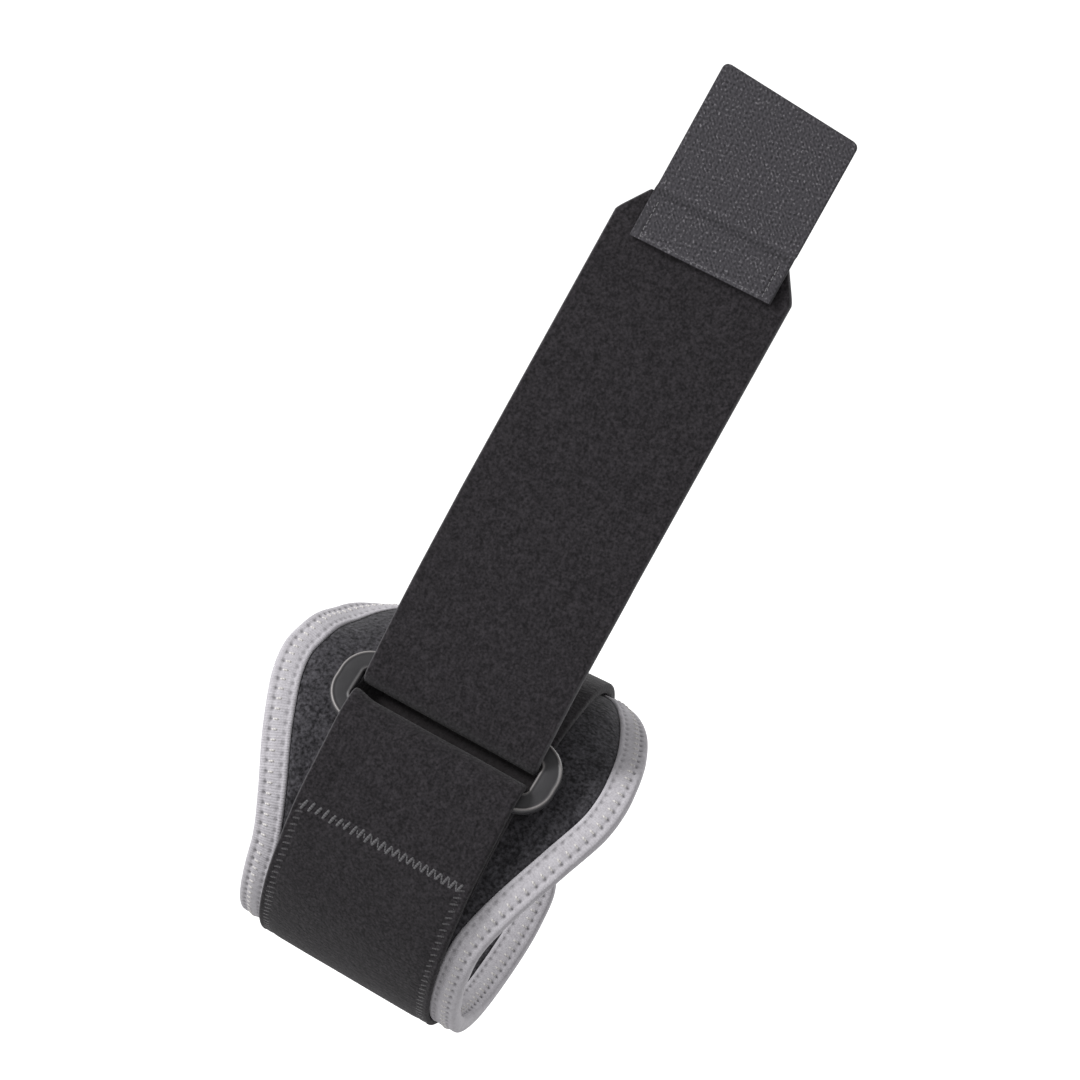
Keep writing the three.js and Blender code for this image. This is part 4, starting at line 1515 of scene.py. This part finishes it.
def stand_hooks(settings, base, top):
    """The hooks on the tab's back: a round filament carried along a stem that bends over in a half circle.

    Rows of hooks stand a pitch apart and turn to alternate sides.
    """
    tall = settings.hook_height / MM
    pitch = settings.hook_pitch / MM
    ups = np.arange(PULLED_LENGTH + HOOKS_FROM, top - HOOKS_TOP, pitch)
    reach = TAB_WIDTH / 2 - HOOKS_SIDE
    place, up = (v.ravel() for v in np.meshgrid(np.arange(-reach, reach, pitch), ups))
    rng = np.random.default_rng(SEED + 5)
    place = place + rng.uniform(-HOOK_SLIP, HOOK_SLIP, len(place))
    up = up + rng.uniform(-HOOK_SLIP, HOOK_SLIP, len(up))
    turn = np.where((np.arange(len(up)) % 2) == 0, 1.0, -1.0)
    stem = tall - HOOK_BOW - HOOK_RADIUS - HOOK_SHORT
    t = np.arange(STEM_POINTS) / STEM_POINTS
    angle = np.linspace(0.0, HOOK_TURN, BOW_POINTS)
    out = np.concatenate([stem * t - HOOK_ROOT, stem + HOOK_BOW * np.sin(angle)])
    lean = np.concatenate([0 * t, HOOK_BOW * (1 - np.cos(angle))])
    root = tab_place(base, up, place, np.full(len(up), tall - TAB_THICKNESS / 2))
    path = root[:, None] + np.array([0.0, 1.0, 0.0]) * out[None, :, None]
    path = path + np.array([0.0, 0.0, 1.0]) * (turn[:, None] * lean[None, :])[..., None]
    across = np.broadcast_to(np.array([1.0, 0.0, 0.0]), path.shape)
    beside = np.cross(unit(np.gradient(path, axis=1)), across)
    points, quads = tubes(path, across, beside, HOOK_RADIUS, HOOK_SIDES)[:2]
    finish = filament("hook_filament", settings.hook_colour)
    make_piece("tab_hooks", points, quads, finish)


# The stage

FRAME_PIXELS = 1080.0
SENSOR = 36.0
CLIP_END = 50.0

# The backdrop in metres: half width, which is also its reach to the front, top and corner, and its grid
PAPER_REACH = 40.0
PAPER_TOP = 20.0
PAPER_CORNER = 0.8
CORNER_POINTS = 24
PAPER_COLUMNS = 9

# Lights: the setting with their power, place and size in metres; all are aimed at one point
LIGHTS = [
    ("key", (-1.65, -1.2, 0.72), 0.5),
    ("fill", (-1.3, -1.3, -0.18), 0.3),
    ("back", (0.5, 1.9, 0.8), 0.8),
]
LIGHT_AIM = (0.0, -0.02, 0.05)


def backdrop_points(floor, wall):
    """A seamless sweep: floor, quarter circle and wall as one profile along Y and Z, carried along X."""
    angle = np.linspace(0.0, 0.5 * math.pi, CORNER_POINTS)
    corner = PAPER_CORNER
    y = np.concatenate([[-PAPER_REACH], wall - corner + corner * np.sin(angle), [wall]])
    z = np.concatenate([[floor], floor + corner - corner * np.cos(angle), [PAPER_TOP]])
    x = np.linspace(-PAPER_REACH, PAPER_REACH, PAPER_COLUMNS)
    return joined(x[None, :], y[:, None], z[:, None]), len(y), len(x)


def camera_matrix(settings):
    """The camera's place and axes.

    It stands at an azimuth, an elevation and a distance from the origin, rolled about its own view. It
    is then turned so that the origin falls on the given pixel of a square frame.
    """
    az, el, roll = settings.azimuth, settings.elevation, settings.roll
    way = Vector((math.sin(az) * math.cos(el), -math.cos(az) * math.cos(el), math.sin(el)))
    place = settings.distance * way
    right = Vector((math.cos(az), math.sin(az), 0.0))
    up = Vector((-math.sin(az) * math.sin(el), math.cos(az) * math.sin(el), math.cos(el)))
    across = math.cos(roll) * right + math.sin(roll) * up
    upward = -math.sin(roll) * right + math.cos(roll) * up
    half = FRAME_PIXELS / 2
    shift_x = (half - settings.origin_x) / settings.focal
    shift_y = (settings.origin_y - half) / settings.focal
    forward = (-place.normalized() + shift_x * across + shift_y * upward).normalized()
    across = (across - across.dot(forward) * forward).normalized()
    upward = across.cross(forward)
    turned = Matrix((across, upward, -forward)).transposed().to_4x4()
    return Matrix.Translation(place) @ turned


def area_light(name, place, size, power):
    """A large soft square light."""
    data = bpy.data.lights.new(name, "AREA")
    data.shape = "SQUARE"
    data.size = size
    data.energy = power
    light = bpy.data.objects.new(name, data)
    aim = (Vector(LIGHT_AIM) - Vector(place)).to_track_quat("-Z", "Y")
    light.matrix_world = Matrix.Translation(place) @ aim.to_matrix().to_4x4()
    bpy.context.scene.collection.objects.link(light)


def build_stage(settings):
    """Backdrop, world, lights and camera."""
    scene = bpy.context.scene
    points, rows, columns = backdrop_points(settings.floor, settings.wall)
    quads = grid_faces(rows, columns)[0]
    mesh = bpy.data.meshes.new("backdrop")
    mesh.from_pydata(points.reshape(-1, 3).tolist(), [], quads[:, ::-1].tolist())
    mesh.polygons.foreach_set("use_smooth", np.ones(len(mesh.polygons), dtype=bool))
    mesh.materials.append(studio_paper("studio_paper", settings.paper, settings.glow))
    backdrop = bpy.data.objects.new("backdrop", mesh)
    scene.collection.objects.link(backdrop)
    backdrop.visible_diffuse = False
    world = bpy.data.worlds.new("studio")
    world.use_nodes = True
    sky = world.node_tree.nodes["Background"]
    sky.inputs["Color"].default_value = (1.0, 1.0, 1.0, 1.0)
    sky.inputs["Strength"].default_value = settings.world
    scene.world = world
    for name, place, size in LIGHTS:
        area_light(name + "_light", place, size, getattr(settings, name))
    data = bpy.data.cameras.new("camera")
    data.sensor_width = SENSOR
    data.lens = settings.focal / FRAME_PIXELS * SENSOR
    data.clip_end = CLIP_END
    camera = bpy.data.objects.new("camera", data)
    camera.matrix_world = camera_matrix(settings)
    scene.collection.objects.link(camera)
    scene.camera = camera
    scene.view_settings.view_transform = "Standard"


# Settings that a user would change

def colour_property(name, description, default):
    """A colour setting."""
    return bpy.props.FloatVectorProperty(
        name=name, description=description, default=default, subtype="COLOR", size=3, min=0.0, max=1.0)


def length_property(name, description, millimetres):
    """A length setting, given in millimetres."""
    return bpy.props.FloatProperty(
        name=name, description=description, default=millimetres * MM, unit="LENGTH", min=0.0, precision=5)


def share_property(name, description, default):
    """A plain number setting between 0 and 1."""
    return bpy.props.FloatProperty(name=name, description=description, default=default, min=0.0, max=1.0)


def plain_property(name, description, default, **kind):
    """A number setting with its unit or subtype, where it has one."""
    return bpy.props.FloatProperty(name=name, description=description, default=default, **kind)


class BracePanelSettings(bpy.types.PropertyGroup):
    """The padded panel."""
    dark: colour_property("Cloth", "Darker tone of the speckled cloth", (0.0128, 0.0123, 0.0143))
    light: colour_property("Speckle", "Lighter tone of the speckled cloth", (0.077, 0.074, 0.083))
    contrast: share_property("Softness", "Width of the step between the two tones", 0.24)
    grain: length_property("Grain", "Size of one tuft", 1.45)
    # Painted shade: the darker colour of the pile under the ring and the folds
    painted_shade: colour_property("Painted shade", "Colour where the ring covers it", (0.0128, 0.0106, 0.0110))
    swell: length_property("Swell", "Height of the soft roll beside the binding", 0.30)


class BraceBindingSettings(bpy.types.PropertyGroup):
    """The edge binding and its stitch."""
    colour: colour_property("Tape", "Colour of the tape", (0.52, 0.505, 0.535))
    shade: colour_property("Shade", "Darker yarn of the tape", (0.37, 0.355, 0.38))
    rib: length_property("Rib", "Spacing of the fine ribs across the tape", 0.62)
    pitch: length_property("Stitch", "Spacing of the needle holes", 2.4)
    thread: colour_property("Thread", "Colour of the stitch", (0.64, 0.62, 0.605))
    thread_shade: colour_property("Thread shade", "Colour between the plies", (0.46, 0.44, 0.43))


class BraceRingSettings(bpy.types.PropertyGroup):
    """The ring buckle."""
    colour: colour_property("Plastic", "Colour of the plastic", (0.0205, 0.0198, 0.0218))
    # Painted highlight on the lips
    lip_highlight: colour_property("Lip", "Colour of the rubbed lips", (0.35, 0.328, 0.325))
    roughness: share_property("Roughness", "Roughness of the satin surface", 0.48)
    lip: length_property("Lip height", "Height of the lips over the dished face", 0.28)


class BraceStrapSettings(bpy.types.PropertyGroup):
    """The strap and its seam."""
    dark: colour_property("Cloth", "Darker tone of the brushed cloth", (0.0090, 0.0080, 0.0093))
    light: colour_property("Nap", "Lighter tone of the brushed cloth", (0.0345, 0.0310, 0.0350))
    contrast: share_property("Softness", "Width of the step between the two tones", 0.26)
    grain: length_property("Grain", "Size of one tuft", 1.1)
    # The cut edges' colour, also used for painted highlights on the edges and on the upper fold
    edge: colour_property("Edge", "Colour of the cut edges", (0.075, 0.072, 0.077))
    channel: length_property("Channel", "Depth of the sewn channel", 0.22)
    seam_width: length_property("Seam width", "Width of the zigzag", 2.9)
    seam_pitch: length_property("Seam pitch", "Step of the zigzag", 0.92)
    thread: colour_property("Thread", "Colour of the seam", (0.096, 0.093, 0.099))
    thread_shade: colour_property("Thread shade", "Colour between the plies", (0.052, 0.05, 0.054))
    # Painted shade: a darker copy of the seam thread
    side_thread: colour_property("Side thread", "Colour of the seam's side rows", (0.029, 0.0277, 0.0297))


class BraceTabSettings(bpy.types.PropertyGroup):
    """The hook tab."""
    dark: colour_property("Weave", "Darker tone of the weave", (0.0168, 0.0159, 0.0185))
    light: colour_property("Yarn", "Lighter tone of the raised yarn", (0.063, 0.0597, 0.068))
    speck: colour_property("Specks", "Colour of the sparse light specks", (0.16, 0.153, 0.165))
    weave: length_property("Weave pitch", "Size of the rough weave", 0.56)
    stitch: length_property("Stitch", "Length of one stitch with its gap", 1.5)
    thread: colour_property("Thread", "Colour of the stitches", (0.15, 0.145, 0.155))
    thread_shade: colour_property("Thread shade", "Colour between the plies", (0.08, 0.078, 0.083))
    hook_height: length_property("Hook height", "How far the hooks stand out of the tape", 0.85)
    hook_pitch: length_property("Hook pitch", "Spacing of the hooks", 1.3)
    hook_colour: colour_property("Hooks", "Colour of the filament", (0.028, 0.027, 0.03))


class BraceStageSettings(bpy.types.PropertyGroup):
    """Backdrop, light and camera."""
    paper: colour_property("Paper", "Colour of the backdrop", (0.92, 0.92, 0.92))
    glow: share_property("Glow", "Light of the backdrop itself", 0.5)
    floor: plain_property("Floor", "Height of the floor", -0.24, unit="LENGTH")
    wall: plain_property("Wall", "Distance of the wall behind", 2.6, unit="LENGTH")
    world: plain_property("World", "Strength of the light from all round", 0.6)
    key: plain_property("Key light", "Power of the main light", 38.0, unit="POWER")
    fill: plain_property("Fill light", "Power of the low light at the left", 9.0, unit="POWER")
    back: plain_property("Back light", "Power of the light behind", 14.0, unit="POWER")
    azimuth: plain_property("Azimuth", "Camera's turn to the right", math.radians(9.32), subtype="ANGLE")
    elevation: plain_property("Elevation", "Camera's height as an angle", math.radians(8.0), subtype="ANGLE")
    roll: plain_property("Roll", "Camera's turn about its own view", math.radians(26.7), subtype="ANGLE")
    distance: plain_property("Distance", "Camera's distance from the origin", 1.2, unit="LENGTH")
    focal: plain_property("Focal length", "Focal length in pixels of the frame", 5090.0)
    origin_x: plain_property("Origin across", "Pixel of the origin from the left", 436.75)
    origin_y: plain_property("Origin down", "Pixel of the origin from the top", 813.07)


# Operators, panel and registration

class BRACE_OT_panel(bpy.types.Operator):
    """Build the padded panel"""
    bl_idname = "brace.panel"
    bl_label = "Panel"

    def execute(self, context):
        build_panel(context.scene.brace_panel)
        return {"FINISHED"}


class BRACE_OT_binding(bpy.types.Operator):
    """Build the edge binding and its stitch"""
    bl_idname = "brace.binding"
    bl_label = "Binding"

    def execute(self, context):
        build_binding(context.scene.brace_binding)
        return {"FINISHED"}


class BRACE_OT_ring(bpy.types.Operator):
    """Build the ring buckle"""
    bl_idname = "brace.ring"
    bl_label = "Ring"

    def execute(self, context):
        build_ring(context.scene.brace_ring)
        return {"FINISHED"}


class BRACE_OT_strap(bpy.types.Operator):
    """Build the strap and its seam"""
    bl_idname = "brace.strap"
    bl_label = "Strap"

    def execute(self, context):
        build_strap(context.scene.brace_strap)
        return {"FINISHED"}


class BRACE_OT_tab(bpy.types.Operator):
    """Build the hook tab with its stitches and hooks"""
    bl_idname = "brace.tab"
    bl_label = "Hook tab"

    def execute(self, context):
        build_tab(context.scene.brace_tab)
        return {"FINISHED"}


class BRACE_OT_stage(bpy.types.Operator):
    """Build the backdrop, the lights and the camera"""
    bl_idname = "brace.stage"
    bl_label = "Stage"

    def execute(self, context):
        build_stage(context.scene.brace_stage)
        return {"FINISHED"}


PIECES = [
    ("brace_panel", BracePanelSettings, BRACE_OT_panel),
    ("brace_binding", BraceBindingSettings, BRACE_OT_binding),
    ("brace_ring", BraceRingSettings, BRACE_OT_ring),
    ("brace_strap", BraceStrapSettings, BRACE_OT_strap),
    ("brace_tab", BraceTabSettings, BRACE_OT_tab),
    ("brace_stage", BraceStageSettings, BRACE_OT_stage),
]


class BRACE_PT_sidebar(bpy.types.Panel):
    """The brace's pieces and their settings"""
    bl_idname = "BRACE_PT_sidebar"
    bl_label = "Elbow Brace"
    bl_space_type = "VIEW_3D"
    bl_region_type = "UI"
    bl_category = "Brace"

    def draw(self, context):
        for pointer, group, operator in PIECES:
            box = self.layout.box()
            box.operator(operator.bl_idname)
            settings = getattr(context.scene, pointer)
            for key in group.__annotations__:
                box.prop(settings, key)


def register():
    for pointer, group, operator in PIECES:
        bpy.utils.register_class(group)
        bpy.utils.register_class(operator)
        setattr(bpy.types.Scene, pointer, bpy.props.PointerProperty(type=group))
    bpy.utils.register_class(BRACE_PT_sidebar)


def unregister():
    bpy.utils.unregister_class(BRACE_PT_sidebar)
    for pointer, group, operator in reversed(PIECES):
        delattr(bpy.types.Scene, pointer)
        bpy.utils.unregister_class(operator)
        bpy.utils.unregister_class(group)


def main():
    """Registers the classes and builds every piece."""
    register()
    bpy.ops.brace.panel()
    bpy.ops.brace.binding()
    bpy.ops.brace.ring()
    bpy.ops.brace.strap()
    bpy.ops.brace.tab()
    bpy.ops.brace.stage()


if __name__ == "__main__":
    main()
